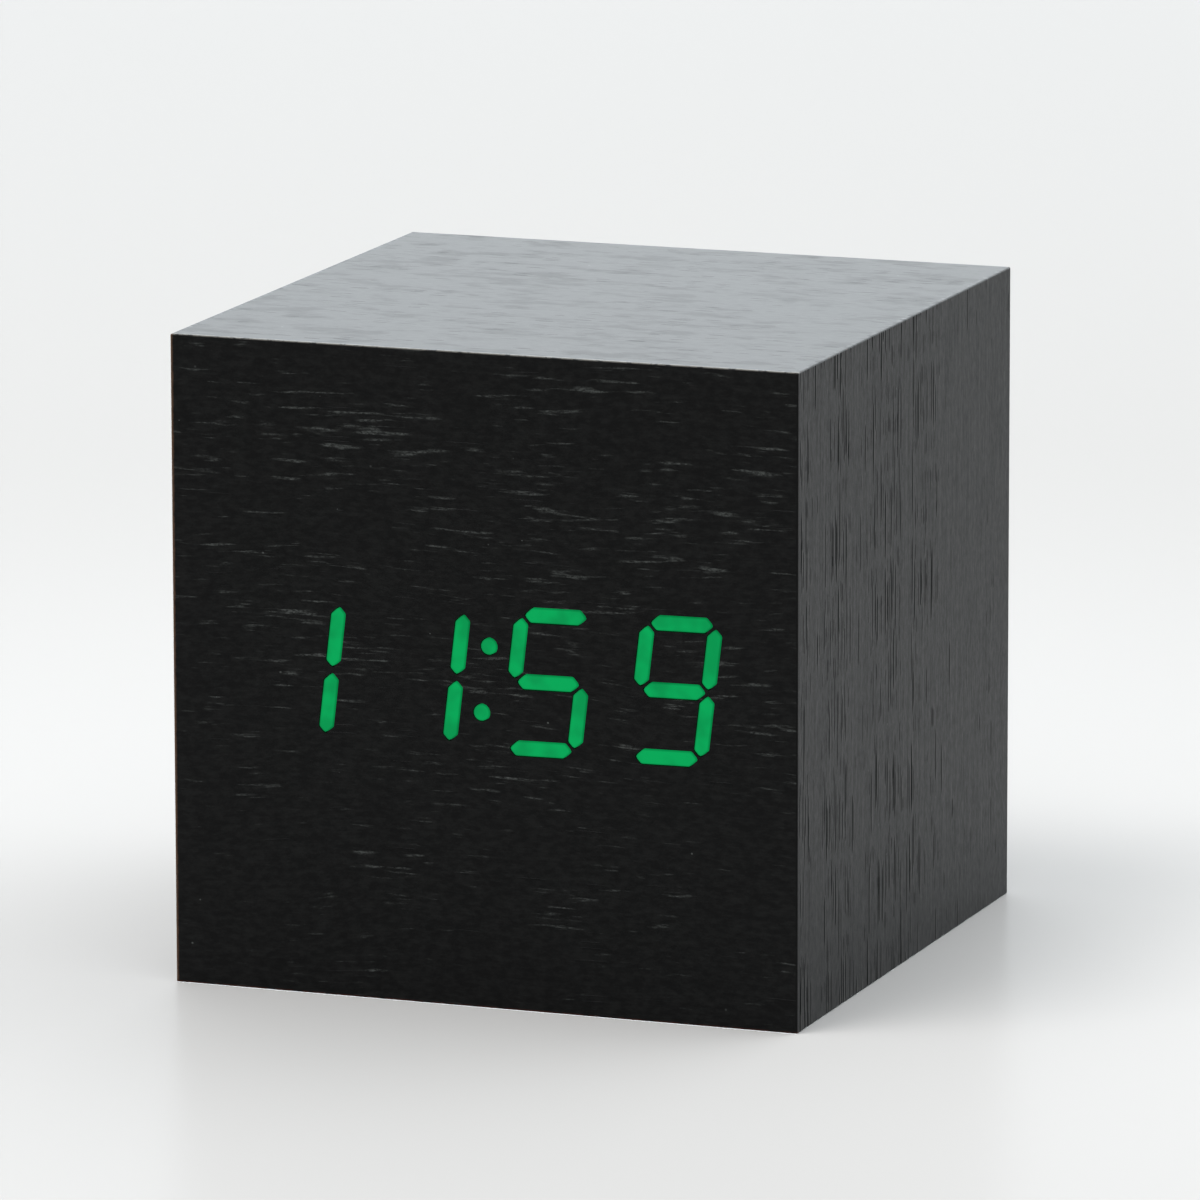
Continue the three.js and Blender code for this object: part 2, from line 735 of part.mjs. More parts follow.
function buildDisplay() {
  piece('segment_reflector', segmentReflector(), blackPlastic);
  piece('light_guide', lightGuide(), litResin);
  piece('display_circuit_board', displayCircuitBoard(), circuitGreen);
  piece('clock_chip', clockChip(), chipBlack);
  const length = circuitThickness + flangeThickness + displayScrewGrip;
  const screw = panScrew(screwShank, screwHead, screwHeadHeight, length);
  displayScrewPlaces().forEach(([x, z], i) => {
    placeScrew(`display_screw_${i + 1}`, screw, [x, displayBoardBack, z], Math.PI);
  });
}

// Control panel: a moulded plate set into the rear board, with its buttons, the circuit
// board on two posts behind it, and what that board carries

const buttonPlaces = buttonNames.map((name, i) => {
  return [middleButtonX + (i - (buttonNames.length - 1) / 2) * buttonPitch, panelMiddle];
});
const postPlaces = [[-postX, panelMiddle], [postX, panelMiddle]];

function controlPanel() {
  const outline = roundedRectangle(panelSpanX, panelSpanZ, panelCorner);
  const plate = prism('y', outline, [panelBack, panelFace]);
  const rimX = grown(throughSpanX, -seatClearance);
  const rimZ = grown(throughSpanZ, -seatClearance);
  const rimSpan = [panelBack - panelRimDepth, panelBack + panelThickness / 2];
  const rimStock = block(rimX, rimSpan, rimZ);
  const rimHollowSpan = [panelBack - panelRimDepth - cutOverrun, panelBack];
  const rimHollow = block(grown(rimX, -panelRimWall), rimHollowSpan, grown(rimZ, -panelRimWall));
  const posts = holesAlongY(postPlaces, postDiameter, [controlBoardFace, panelBack + panelThickness / 2]);
  const through = [panelBack - cutOverrun, panelFace + cutOverrun];
  const tools = roundsAlongY(buttonPlaces, buttonDiameter + 2 * runningGap, through, fineSides);
  const noseHole = circle(powerNoseDiameter + 2 * runningGap, [powerSocketX, panelMiddle], fineSides);
  const soundHole = circle(soundHoleDiameter, [microphoneX, panelMiddle], coarseSides);
  tools.push(prism('y', noseHole, through), prism('y', soundHole, through));
  tools.push(...holesAlongY(panelScrewPlaces, screwShank + holeClearance, through));
  const pilotSpan = [controlBoardFace - cutOverrun, controlBoardFace + boardScrewGrip + holeClearance];
  tools.push(...holesAlongY(postPlaces, boardScrewShank + holeClearance, pilotSpan));
  return cut(joined([plate, cut(rimStock, [rimHollow]), ...posts]), tools);
}

// A turned cap with a dished top over a wider flange that keeps it in the panel.
function buttonCap() {
  const flangeTop = panelBack - flangeGap;
  const flangeBottom = controlBoardFace + switchHeight + plungerStand;
  const top = panelFace + buttonProud;
  const cap = buttonDiameter / 2;
  const rim = cap - buttonDish;
  const profile = [[0, flangeBottom], [buttonFlange / 2, flangeBottom], [buttonFlange / 2, flangeTop]];
  profile.push([cap, flangeTop], [cap, top - buttonDish], [rim, top], [rim / 2, top - buttonDish / 2]);
  profile.push([0, top - buttonDish]);
  return turned(profile, fineSides);
}

function buttonSwitch([x, z]) {
  const top = controlBoardFace + switchHeight;
  const body = block(around(x, switchSize), [controlBoardFace, top], around(z, switchSize));
  const boreDepth = plungerLength - plungerStand + buttonTravel + runningGap;
  const bore = circle(plungerDiameter + 2 * runningGap, [x, z], mediumSides);
  return cut(body, [prism('y', bore, [top - boreDepth, top + cutOverrun])]);
}

function buttonPlunger([x, z]) {
  const head = controlBoardFace + switchHeight + plungerStand;
  return prism('y', circle(plungerDiameter, [x, z], mediumSides), [head - plungerLength, head]);
}

function controlCircuitBoard() {
  const spanZ = around(panelMiddle, controlBoardHeight);
  const board = block(around(0, controlBoardWidth), [controlBoardBack, controlBoardFace], spanZ);
  const holeSpan = [controlBoardBack - cutOverrun, controlBoardFace + cutOverrun];
  return cut(board, holesAlongY(postPlaces, boardScrewShank + holeClearance, holeSpan));
}

function powerSocket() {
  const place = [powerSocketX, panelMiddle];
  const bodyTop = panelBack - flangeGap;
  const mouth = panelFace - powerNoseSetback;
  const spanX = around(powerSocketX, powerSocketSize);
  const body = block(spanX, [controlBoardFace, bodyTop], around(panelMiddle, powerSocketSize));
  const nose = prism('y', circle(powerNoseDiameter, place, fineSides), [bodyTop - flangeGap, mouth]);
  const boreSpan = [mouth - powerBoreDepth, mouth + cutOverrun];
  const bore = prism('y', circle(powerBoreDiameter, place, fineSides), boreSpan);
  return cut(body.add(nose), [bore]);
}

function powerSocketPin() {
  const floor = panelFace - powerNoseSetback - powerBoreDepth;
  const tip = floor + powerPinLength;
  const radius = powerPinDiameter / 2;
  const profile = [[0, floor], [radius, floor], [radius, tip - radius / 2], [radius / 2, tip], [0, tip]];
  return turned(profile, coarseSides);
}

function alarmBuzzer() {
  const place = [buzzerX, panelMiddle];
  const front = controlBoardBack - buzzerLength;
  const can = prism('y', circle(buzzerDiameter, place, fineSides), [front, controlBoardBack]);
  const hole = circle(soundHoleDiameter, place, coarseSides);
  return cut(can, [prism('y', hole, [front - cutOverrun, front + buzzerLength / 2])]);
}

// A bead of resin on a short stem that stands on the inner side of the board.
function temperatureSensor() {
  const stem = sensorLegDiameter / 2;
  const bead = sensorDiameter / 2;
  const neck = -sensorLegLength;
  const profile = [[0, neck - sensorDiameter], [bead, neck - bead], [stem, neck], [stem, 0], [0, 0]];
  return turned(profile, coarseSides);
}

function buildControls() {
  piece('control_panel', controlPanel(), blackPlastic);
  piece('control_circuit_board', controlCircuitBoard(), circuitGreen);
  buttonPlaces.forEach((place, i) => {
    const cap = piece(`${buttonNames[i]}_button`, buttonCap(), greyPlastic);
    cap.position.set(place[0], 0, place[1]);
    piece(`${buttonNames[i]}_plunger`, buttonPlunger(place), socketWhite);
    piece(`${buttonNames[i]}_switch`, buttonSwitch(place), chipBlack);
  });
  piece('power_socket', powerSocket(), blackPlastic);
  const pin = piece('power_socket_pin', powerSocketPin(), zincSteel);
  pin.position.set(powerSocketX, 0, panelMiddle);
  const capsule = circle(microphoneDiameter, [microphoneX, panelMiddle], mediumSides);
  piece('microphone', prism('y', capsule, [panelBack - microphoneLength, panelBack]), zincSteel);
  piece('alarm_buzzer', alarmBuzzer(), chipBlack);
  const sensor = piece('temperature_sensor', temperatureSensor(), chipBlack);
  sensor.position.set(sensorX, controlBoardBack, panelMiddle - controlBoardHeight / 4);
  const panelScrew = panScrew(screwShank, screwHead, screwHeadHeight, panelThickness + panelScrewGrip);
  panelScrewPlaces.forEach(([x, z], i) => {
    placeScrew(`panel_screw_${i + 1}`, panelScrew, [x, panelFace, z], Math.PI);
  });
  const boardScrewLength = circuitThickness + boardScrewGrip;
  const boardScrew = panScrew(boardScrewShank, screwHead, screwHeadHeight, boardScrewLength);
  postPlaces.forEach(([x, z], i) => {
    placeScrew(`control_board_screw_${i + 1}`, boardScrew, [x, controlBoardBack, z], 0);
  });
}

// Ribbon between the two circuit boards, with a socket at each end

const ribbonFrontZ = flangeSpanZ[1] - ribbonFrontDrop;
const ribbonRearZ = panelMiddle;
const frontSocketSpan = [displayBoardBack, displayBoardBack + ribbonSocketDepth];
const rearSocketSpan = [controlBoardBack - ribbonSocketDepth, controlBoardBack];

function ribbonSocket([front, back], z, openToRear) {
  const body = block(around(0, ribbonSocketWidth), [front, back], around(z, ribbonSocketHeight));
  const rearMouth = [back - ribbonPocketDepth, back + cutOverrun];
  const frontMouth = [front - cutOverrun, front + ribbonPocketDepth];
  const slotX = around(0, ribbonWidth + 2 * holeClearance);
  const slotZ = around(z, ribbonThickness + 2 * holeClearance);
  return cut(body, [block(slotX, openToRear ? rearMouth : frontMouth, slotZ)]);
}

function ribbonCable() {
  const start = new THREE.Vector2(frontSocketSpan[1] - ribbonPocketDepth, ribbonFrontZ);
  const end = new THREE.Vector2(rearSocketSpan[0] + ribbonPocketDepth, ribbonRearZ);
  const startPull = start.clone().add(new THREE.Vector2(ribbonSag, 0));
  const endPull = end.clone().sub(new THREE.Vector2(ribbonSag, 0));
  const route = new THREE.CubicBezierCurve(start, startPull, endPull, end);
  const upper = [];
  const lower = [];
  for (let i = 0; i <= ribbonSteps; i += 1) {
    const point = route.getPoint(i / ribbonSteps);
    const along = route.getTangent(i / ribbonSteps);
    const across = new THREE.Vector2(-along.y, along.x).multiplyScalar(ribbonThickness / 2);
    upper.push(point.clone().add(across));
    lower.push(point.clone().sub(across));
  }
  return prism('x', [...lower, ...upper.reverse()], around(0, ribbonWidth));
}

function buildRibbon() {
  piece('ribbon_socket_front', ribbonSocket(frontSocketSpan, ribbonFrontZ, true), socketWhite);
  piece('ribbon_socket_rear', ribbonSocket(rearSocketSpan, ribbonRearZ, false), socketWhite);
  piece('ribbon_cable', ribbonCable(), ribbonGrey);
}

// Battery compartment: a moulded tray through the base, three cells, their contacts and leads,
// and a door that swings down on two tabs

const nubSides = [1, -1, 1];
const cellPlaces = nubSides.map((side, i) => (i - (cellCount - 1) / 2) * cellPitch);

function trayTabSlot(y) {
  const xSpan = [-trayHalfX - cutOverrun, -trayRoomX + cutOverrun];
  const slotLow = doorRecess + lipThickness;
  return block(xSpan, around(y, tabWidth + 2 * runningGap), [slotLow, slotLow + tabSwingRoom]);
}

function contactTagSlot(side, y) {
  const x = side * (trayRoomX - contactThickness / 2);
  const spanX = around(x, contactThickness + 2 * holeClearance);
  const spanY = around(y, tagWidth + 2 * holeClearance);
  return block(spanX, spanY, [trayRoof - cutOverrun, trayTop + cutOverrun]);
}

function batteryTray() {
  const shell = block([-trayHalfX, trayHalfX], [-trayHalfY, trayHalfY], [doorRecess, trayTop]);
  const earReach = trayHalfY + earLength;
  const earSpanZ = [earRecess, earRecess + earThickness];
  const ears = block(around(0, earWidth), [-earReach, earReach], earSpanZ);
  const lowerSpanZ = [doorRecess - cutOverrun, cellHeight];
  const lowerRoom = block([-trayRoomX, trayRoomX], [-trayRoomY, trayRoomY], lowerSpanZ);
  const cradleEnd = cellLength / 2 - cradleInset;
  const cradleSpan = [-cradleEnd - cradleInset, cradleEnd + cradleInset];
  const cradles = cellPlaces.map((y) => {
    return prism('x', circle(cellDiameter + 2 * cellClearance, [y, cellHeight], fineSides), cradleSpan);
  });
  const endRooms = [[-trayRoomX, -cradleEnd], [cradleEnd, trayRoomX]].map((xSpan) => {
    return block(xSpan, [-trayRoomY, trayRoomY], [doorRecess, trayRoof]);
  });
  const tabSlots = [trayTabSlot(-tabSpacing / 2), trayTabSlot(tabSpacing / 2)];
  const tagSlots = [contactTagSlot(1, cellPlaces[0]), contactTagSlot(-1, cellPlaces[2])];
  const bores = trayScrewPlaces.map((place) => {
    const bore = circle(earScrewShank + holeClearance, place, coarseSides);
    return prism('z', bore, [0, earRecess + earThickness + cutOverrun]);
  });
  const tools = [lowerRoom, ...cradles, ...endRooms, ...tabSlots, ...tagSlots, ...bores];
  return joined([cut(shell.add(ears), tools), ...doorStops()]);
}

// Ledges along the two long walls that the closed door bears on.
function doorStops() {
  const reach = trayRoomX - doorStopInset;
  return [-1, 1].map((side) => {
    const inner = side * (trayRoomY - doorStopWidth);
    const outer = side * (trayRoomY + trayWall / 2);
    const spanY = [Math.min(inner, outer), Math.max(inner, outer)];
    return block([-reach, reach], spanY, [doorTop, doorTop + doorStopHeight]);
  });
}

function batteryDoor() {
  const edgeX = trayRoomX - runningGap;
  const edgeY = trayRoomY - runningGap;
  const plate = block([-edgeX, edgeX], [-edgeY, edgeY], [doorRecess, doorTop]);
  const tabTop = doorRecess + lipThickness + runningGap + tabThickness;
  const tabs = [-tabSpacing / 2, tabSpacing / 2].map((y) => {
    const spanX = [-edgeX - tabReach, tabRoot - edgeX];
    return block(spanX, around(y, tabWidth), [tabTop - tabThickness, tabTop]);
  });
  const nibSpan = [edgeX - latchNibLength, edgeX + latchNibReach];
  const nibTop = doorTop + latchNibHeight;
  const nibSpanZ = [doorTop - doorThickness / 2, nibTop];
  const nib = block(nibSpan, around(0, latchWidth - 2 * latchSlot), nibSpanZ);
  const slotSpan = [edgeX - latchLength, edgeX + cutOverrun];
  const slots = [-1, 1].map((side) => {
    return block(slotSpan, around((side * latchWidth) / 2, latchSlot), [0, nibTop + cutOverrun]);
  });
  const ridges = [];
  for (let i = 0; i < gripRidgeCount; i += 1) {
    const x = edgeX - latchLength / 2 + (i - (gripRidgeCount - 1) / 2) * gripRidgePitch;
    const spanY = around(0, latchWidth - 4 * latchSlot);
    ridges.push(block(around(x, gripRidgeWidth), spanY, [0, doorRecess + gripDepth]));
  }
  return cut(joined([plate, ...tabs, nib]), [...slots, ...ridges]);
}

// A cell stands on its flat end at height 0 of its own profile, with its nub at the top.
function batteryCell(y, nubSide) {
  const body = cellLength - cellNubLength;
  const radius = cellDiameter / 2;
  const shoulder = radius - cellShoulder;
  const nub = cellNubDiameter / 2;
  const profile = [[0, 0], [shoulder, 0], [radius, cellShoulder], [radius, body - cellShoulder]];
  profile.push([shoulder, body], [nub, body], [nub, cellLength], [0, cellLength]);
  const geometry = turned(profile, fineSides);
  geometry.translate(0, -cellLength / 2, 0);
  geometry.rotateZ((-nubSide * Math.PI) / 2);
  geometry.translate(0, y, cellHeight);
  return geometry;
}

function contactPlate(side, yLow, yHigh) {
  const inner = side * (trayRoomX - contactThickness);
  const outer = side * trayRoomX;
  const ySpan = [yLow - contactWidth / 2, yHigh + contactWidth / 2];
  return block([Math.min(inner, outer), Math.max(inner, outer)], ySpan, around(cellHeight, contactHeight));
}

// The raised button that a cell's nub meets.
function contactBoss(side, y) {
  const tip = cellLength / 2 + contactGap;
  const base = trayRoomX - contactThickness / 2;
  const span = side > 0 ? [tip, base] : [-base, -tip];
  return prism('x', circle(contactBossDiameter, [y, cellHeight], coarseSides), span);
}

// The bowed leaf that presses on a cell's flat end, drawn from above as a bent strip.
function contactLeaf(side, y) {
  const foot = trayRoomX - contactThickness / 2;
  const crest = cellLength / 2 + contactGap;
  const reach = contactWidth / 2;
  const outer = [[foot, -reach], [crest, -leafWidth / 4], [crest, leafWidth / 4], [foot, reach]];
  const inner = [[foot, reach - 2 * leafThickness], [crest + leafThickness, leafWidth / 4]];
  inner.push([crest + leafThickness, -leafWidth / 4], [foot, 2 * leafThickness - reach]);
  const outline = [...outer, ...inner].map(([x, across]) => new THREE.Vector2(side * x, y + side * across));
  return prism('z', outline, around(cellHeight, leafWidth));
}

function contactTag(side, y) {
  const inner = side * (trayRoomX - contactThickness);
  const outer = side * trayRoomX;
  const zSpan = [cellHeight, trayTop + tagAboveTray];
  return block([Math.min(inner, outer), Math.max(inner, outer)], around(y, tagWidth), zSpan);
}

// An insulated lead from a contact's tag up to the inner side of the control board.
function batteryLead(side, y) {
  const x = side * (trayRoomX - contactThickness / 2);
  const top = trayTop + tagAboveTray;
  const endX = side * (postX - leadPostGap);
  const endZ = panelMiddle - controlBoardHeight / 2 + leadEdgeGap;
  const start = new THREE.Vector3(x, y, top);
  const rise = new THREE.Vector3(x, y, top + leadRise);
  const approach = new THREE.Vector3(endX, controlBoardBack - leadRise, endZ);
  const end = new THREE.Vector3(endX, controlBoardBack, endZ);
  const route = new THREE.CubicBezierCurve3(start, rise, approach, end);
  const section = new THREE.Shape(circle(leadDiameter, [0, 0], leadSides));
  const options = { extrudePath: route, steps: leadSteps, bevelEnabled: false };
  return solidOf(new THREE.ExtrudeGeometry(section, options));
}

function buildBatteryCompartment() {
  const [first, second, third] = cellPlaces;
  piece('battery_tray', batteryTray(), blackPlastic);
  piece('battery_door', batteryDoor(), blackPlastic);
  cellPlaces.forEach((y, i) => {
    piece(`battery_cell_${i + 1}`, batteryCell(y, nubSides[i]), cellSleeve);
  });
  const contacts = {
    positive_contact: [contactPlate(1, first, first), contactBoss(1, first), contactTag(1, first)],
    negative_contact: [contactPlate(-1, third, third), contactLeaf(-1, third), contactTag(-1, third)],
    link_contact_right: [contactPlate(1, second, third), contactLeaf(1, second), contactBoss(1, third)],
    link_contact_left: [contactPlate(-1, first, second), contactLeaf(-1, first), contactBoss(-1, second)],
  };
  Object.entries(contacts).forEach(([name, solids]) => piece(name, joined(solids), zincSteel));
  piece('positive_lead', batteryLead(1, first), redInsulation);
  piece('negative_lead', batteryLead(-1, third), blackInsulation);
  const screwLength = earThickness + earScrewGrip;
  const screw = panScrew(earScrewShank, earScrewHead, earScrewHeadHeight, screwLength);
  trayScrewPlaces.forEach(([x, y], i) => {
    placeScrew(`tray_screw_${i + 1}`, screw, [x, y, earRecess], Math.PI / 2);
  });
}

buildCasing();
buildDisplay();
buildControls();
buildRibbon();
buildBatteryCompartment();

export default clock;
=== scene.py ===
# %% [markdown]
# # A black wooden cube clock
#
# The clock is a 62 mm cube of thin boards, covered in black-stained, open-pored
# veneer. A green segment display glows through its face, and the buttons, the power
# socket and the battery door are at the back and underneath.
#
# The construction is already there: every piece arrives at its real size and place as
# the frame. This lesson gives the pieces their finishes, and models the moulded and
# turned pieces again with the soft edges that a mould or a lathe leaves.

# %% Load the frame
import math
from collections import namedtuple

import bmesh
import bpy
from mathutils import Matrix, Vector


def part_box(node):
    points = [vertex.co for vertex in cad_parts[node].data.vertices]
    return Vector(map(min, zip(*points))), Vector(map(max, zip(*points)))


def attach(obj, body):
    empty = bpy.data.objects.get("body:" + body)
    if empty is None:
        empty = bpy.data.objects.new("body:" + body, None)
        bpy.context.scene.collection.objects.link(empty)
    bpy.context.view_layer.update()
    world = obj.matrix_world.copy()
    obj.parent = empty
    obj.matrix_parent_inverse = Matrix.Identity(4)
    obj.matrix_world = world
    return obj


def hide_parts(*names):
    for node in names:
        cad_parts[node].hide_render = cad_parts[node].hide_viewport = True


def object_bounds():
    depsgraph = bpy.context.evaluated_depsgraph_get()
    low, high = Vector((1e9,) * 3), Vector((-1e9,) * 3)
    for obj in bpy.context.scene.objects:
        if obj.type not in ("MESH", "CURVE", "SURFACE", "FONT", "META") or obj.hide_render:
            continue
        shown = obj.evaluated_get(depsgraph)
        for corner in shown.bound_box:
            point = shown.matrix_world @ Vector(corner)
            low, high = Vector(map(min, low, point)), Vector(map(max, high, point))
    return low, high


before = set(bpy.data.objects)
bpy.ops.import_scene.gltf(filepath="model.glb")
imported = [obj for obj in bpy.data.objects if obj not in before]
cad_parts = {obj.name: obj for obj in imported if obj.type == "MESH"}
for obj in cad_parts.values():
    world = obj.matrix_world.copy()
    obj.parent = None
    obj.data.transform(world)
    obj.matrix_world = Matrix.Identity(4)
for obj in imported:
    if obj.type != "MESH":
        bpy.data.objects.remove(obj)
frame_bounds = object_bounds()
MM = 0.001
low, high = frame_bounds
print(f"{len(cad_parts)} pieces, {(high.x - low.x) / MM:.1f} mm wide")

# %% [markdown]
# ## The viewpoint
#
# The portrait is taken from a metre away through a long lens, a little to the right and
# above, so that the cube's edges run nearly parallel. A camera can be aimed with a
# constraint, but three turns written out say more: the yaw that brings the right side
# into view, the pitch down, and the small roll of a camera held by hand.

# %% Camera
CAMERA_PLACE = Vector((0.34906, -0.93967, 0.23380))
YAW, PITCH, ROLL = (math.radians(angle) for angle in (20.37, -11.33, -0.121))
LENS = 321.66


def place_camera():
    turn = Matrix.Rotation(YAW, 3, "Z") @ Matrix.Rotation(math.pi / 2 + PITCH, 3, "X")
    turn = turn @ Matrix.Rotation(ROLL, 3, "Z")
    lens = bpy.data.cameras.new("portrait_camera")
    lens.lens = LENS
    lens.clip_start = 0.01
    lens.clip_end = 50
    camera = bpy.data.objects.new("portrait_camera", lens)
    camera.matrix_world = Matrix.Translation(CAMERA_PLACE) @ turn.to_4x4()
    bpy.context.scene.collection.objects.link(camera)
    bpy.context.scene.camera = camera
    return camera


camera = place_camera()
print("camera", [round(value, 3) for value in camera.location])

# %% [markdown]
# ## Writing a finish as a recipe
#
# A procedural finish is a chain of nodes: where am I on the surface, what does a noise
# say there, and how dark, rough or deep does that make the spot. Placing nodes by hand
# teaches the same, but a small recipe book keeps a long chain readable: each call adds
# a node or two and hands back the output, ready for the next.


# %% The recipe book
class Recipe:
    """A material and the short calls that add nodes to it."""

    def __init__(self, name, colour, roughness, metallic=0.0, ior=1.45):
        self.material = bpy.data.materials.new(name)
        self.material.use_nodes = True
        self.material.diffuse_color = (*colour, 1)
        self.nodes = self.material.node_tree.nodes
        self.links = self.material.node_tree.links
        self.shader = self.nodes["Principled BSDF"]
        self.feed("Base Color", (*colour, 1))
        self.feed("Roughness", roughness)
        self.feed("Metallic", metallic)
        self.feed("IOR", ior)

    def plug(self, socket, value):
        if isinstance(value, bpy.types.NodeSocket):
            self.links.new(value, socket)
        else:
            socket.default_value = value

    def feed(self, socket, value):
        self.plug(self.shader.inputs[socket], value)

    def node(self, kind, settings, inputs, output=0):
        made = self.nodes.new("ShaderNode" + kind)
        for name, value in settings.items():
            setattr(made, name, value)
        for name, value in inputs.items():
            self.plug(made.inputs[name], value)
        return made.outputs[output]

    def maths(self, operation, first, second=0.0, third=0.0):
        return self.node("Math", {"operation": operation}, {0: first, 1: second, 2: third})

    def times(self, first, second):
        return self.maths("MULTIPLY", first, second)

    def plus(self, first, second):
        return self.maths("ADD", first, second)

    def minus(self, first, second):
        return self.maths("SUBTRACT", first, second)

    def least(self, first, second):
        return self.maths("MINIMUM", first, second)

    def most(self, first, second):
        return self.maths("MAXIMUM", first, second)

    def above(self, value, limit):
        """1 where the value is over the limit, otherwise 0."""
        return self.maths("GREATER_THAN", value, limit)

    def below(self, value, limit):
        return self.maths("LESS_THAN", value, limit)

    def gap(self, value, place):
        """How far the value is from a place, on either side of it."""
        return self.maths("ABSOLUTE", self.minus(value, place))

    def length(self, a, b):
        return self.maths("SQRT", self.plus(self.times(a, a), self.times(b, b)))

    def split(self, vector):
        made = self.nodes.new("ShaderNodeSeparateXYZ")
        self.plug(made.inputs[0], vector)
        return made.outputs[0], made.outputs[1], made.outputs[2]

    def join(self, x, y, z=0.0):
        return self.node("CombineXYZ", {}, {0: x, 1: y, 2: z})

    def place(self):
        """Where the spot lies in the clock's own frame, in millimetres."""
        spot = self.nodes.new("ShaderNodeTexCoord").outputs["Object"]
        scaled = self.node("VectorMath", {"operation": "SCALE"}, {0: spot, "Scale": 1 / MM})
        return self.split(scaled)

    def step(self, value, start, end, low=0.0, high=1.0):
        """Climbs softly from low to high while value goes from start to end."""
        inputs = {"Value": value, "From Min": start, "From Max": end, "To Min": low, "To Max": high}
        return self.node("MapRange", {"interpolation_type": "SMOOTHSTEP"}, inputs)

    def noise(self, parts, per_mm, detail=2.0, roughness=0.5, layer=0.0):
        """Clouds, per_mm of them along each part of the place; layer picks another sky."""
        scales = [per_mm] * len(parts) if isinstance(per_mm, float) else per_mm
        scaled = [self.times(part, scale) for part, scale in zip(parts, scales)]
        place = self.join(*(scaled + [layer])[:3])
        inputs = {"Vector": place, "Scale": 1.0, "Detail": detail, "Roughness": roughness}
        return self.node("TexNoise", {"noise_dimensions": "3D"}, inputs)

    def cells(self, place, metric, exponent=None):
        """A pattern of cells: outputs for their middles, random colours and distances."""
        made = self.nodes.new("ShaderNodeTexVoronoi")
        made.voronoi_dimensions = "2D"
        made.distance = metric
        if exponent:
            made.inputs["Exponent"].default_value = exponent
        self.plug(made.inputs["Vector"], place)
        self.plug(made.inputs["Scale"], 1.0)
        return made.outputs

    def blend(self, factor, first, second):
        """The second colour laid over the first by factor."""
        made = self.nodes.new("ShaderNodeMix")
        made.data_type = "RGBA"
        # For colours, a mix node uses its sockets 6 and 7 and its output 2.
        for socket, value in ((0, factor), (6, first), (7, second)):
            self.plug(made.inputs[socket], (*value, 1) if isinstance(value, tuple) else value)
        return made.outputs[2]

    def relief(self, height, depth):
        """Raises and sinks the surface where light meets it, depth metres from 0 to 1."""
        self.feed("Normal", self.node("Bump", {}, {"Height": height, "Distance": depth}))


def shade(colour, share, lift=0.0):
    """A darker or paler version of a colour."""
    return tuple(part * share + lift for part in colour)


print("the recipe book is open")

# %% [markdown]
# ## Studio
#
# The clock stands on a pale, slightly glossy table. Behind it the room is bright, and the
# top of the cube mirrors that brightness at a flat angle. The camera's side is dim but
# for a faint glow from high in front, so the face stays black and still shows its grain.
# One softbox high on the left draws the short soft shadow. A mesh backdrop could hold
# these tones, but a sky that depends on direction does it without a seam in any view.
#
# The underside is looked at too, for its battery door. So the floor is clear from below,
# it has a window a hair smaller than the clock's foot, and a last glow comes from below.

# %% Floor
FLOOR_RADIUS = 6.0
FLOOR_WINDOW = 0.0309
# The floor is painted lighter near the clock and darker far from it: painted light that lifts the
# shade round the clock, and a painted dimming of the far floor.
FLOOR_COLOUR_PAINTED_LIGHT_NEAR = (0.443, 0.425, 0.411)
FLOOR_FAR_PAINTED_DARKER = (0.388, 0.369, 0.354)
FLOOR_PAINTED_FADE = (60, 280)  # mm from the clock, where the near tone ends and the far one starts
FLOOR_ROUGHNESS = 0.28
FLOOR_GRAIN = 0.003
FLOOR_IOR = 1.027


def floor_finish():
    recipe = Recipe("pale_floor", FLOOR_COLOUR_PAINTED_LIGHT_NEAR, FLOOR_ROUGHNESS, ior=FLOOR_IOR)
    x, y, z = recipe.place()
    # Painted light: the tone fades from the lighter near colour to the darker far one.
    painted_falloff = recipe.step(recipe.length(x, y), *FLOOR_PAINTED_FADE)
    recipe.feed("Base Color", recipe.blend(painted_falloff, FLOOR_COLOUR_PAINTED_LIGHT_NEAR, FLOOR_FAR_PAINTED_DARKER))
    smooth, rough = FLOOR_ROUGHNESS - FLOOR_GRAIN, FLOOR_ROUGHNESS + FLOOR_GRAIN
    recipe.feed("Roughness", recipe.step(recipe.noise((x, y), 1.0, 3.0), 0.3, 0.7, smooth, rough))
    underside = recipe.nodes.new("ShaderNodeNewGeometry").outputs["Backfacing"]
    clear = recipe.nodes.new("ShaderNodeBsdfTransparent").outputs[0]
    seen = recipe.node("MixShader", {}, {0: underside, 1: recipe.shader.outputs[0], 2: clear})
    recipe.plug(recipe.nodes["Material Output"].inputs["Surface"], seen)
    return recipe.material


def lay_floor():
    outline = bmesh.new()
    rim = bmesh.ops.create_circle(outline, radius=FLOOR_RADIUS, segments=96)["verts"]
    corners = [(-1, -1), (1, -1), (1, 1), (-1, 1)]
    window = [outline.verts.new((x * FLOOR_WINDOW, y * FLOOR_WINDOW, 0)) for x, y in corners]
    for loop in (rim, window):
        for one, next_one in zip(loop, loop[1:] + loop[:1]):
            if not outline.edges.get((one, next_one)):
                outline.edges.new((one, next_one))
    bmesh.ops.triangle_fill(outline, edges=outline.edges, use_beauty=True, normal=(0, 0, 1))
    for face in outline.faces:
        if face.normal.z < 0:
            face.normal_flip()
    mesh = bpy.data.meshes.new("floor")
    outline.to_mesh(mesh)
    outline.free()
    floor = bpy.data.objects.new("floor", mesh)
    bpy.context.scene.collection.objects.link(floor)
    floor.data.materials.append(floor_finish())


lay_floor()
print(f"floor {2 * FLOOR_RADIUS:.0f} m across, window {2 * FLOOR_WINDOW / MM:.1f} mm")

# %% Sky and softbox
ROOM_DIM = 0.01
SKY_COLOUR = (0.905, 0.962, 1.0)
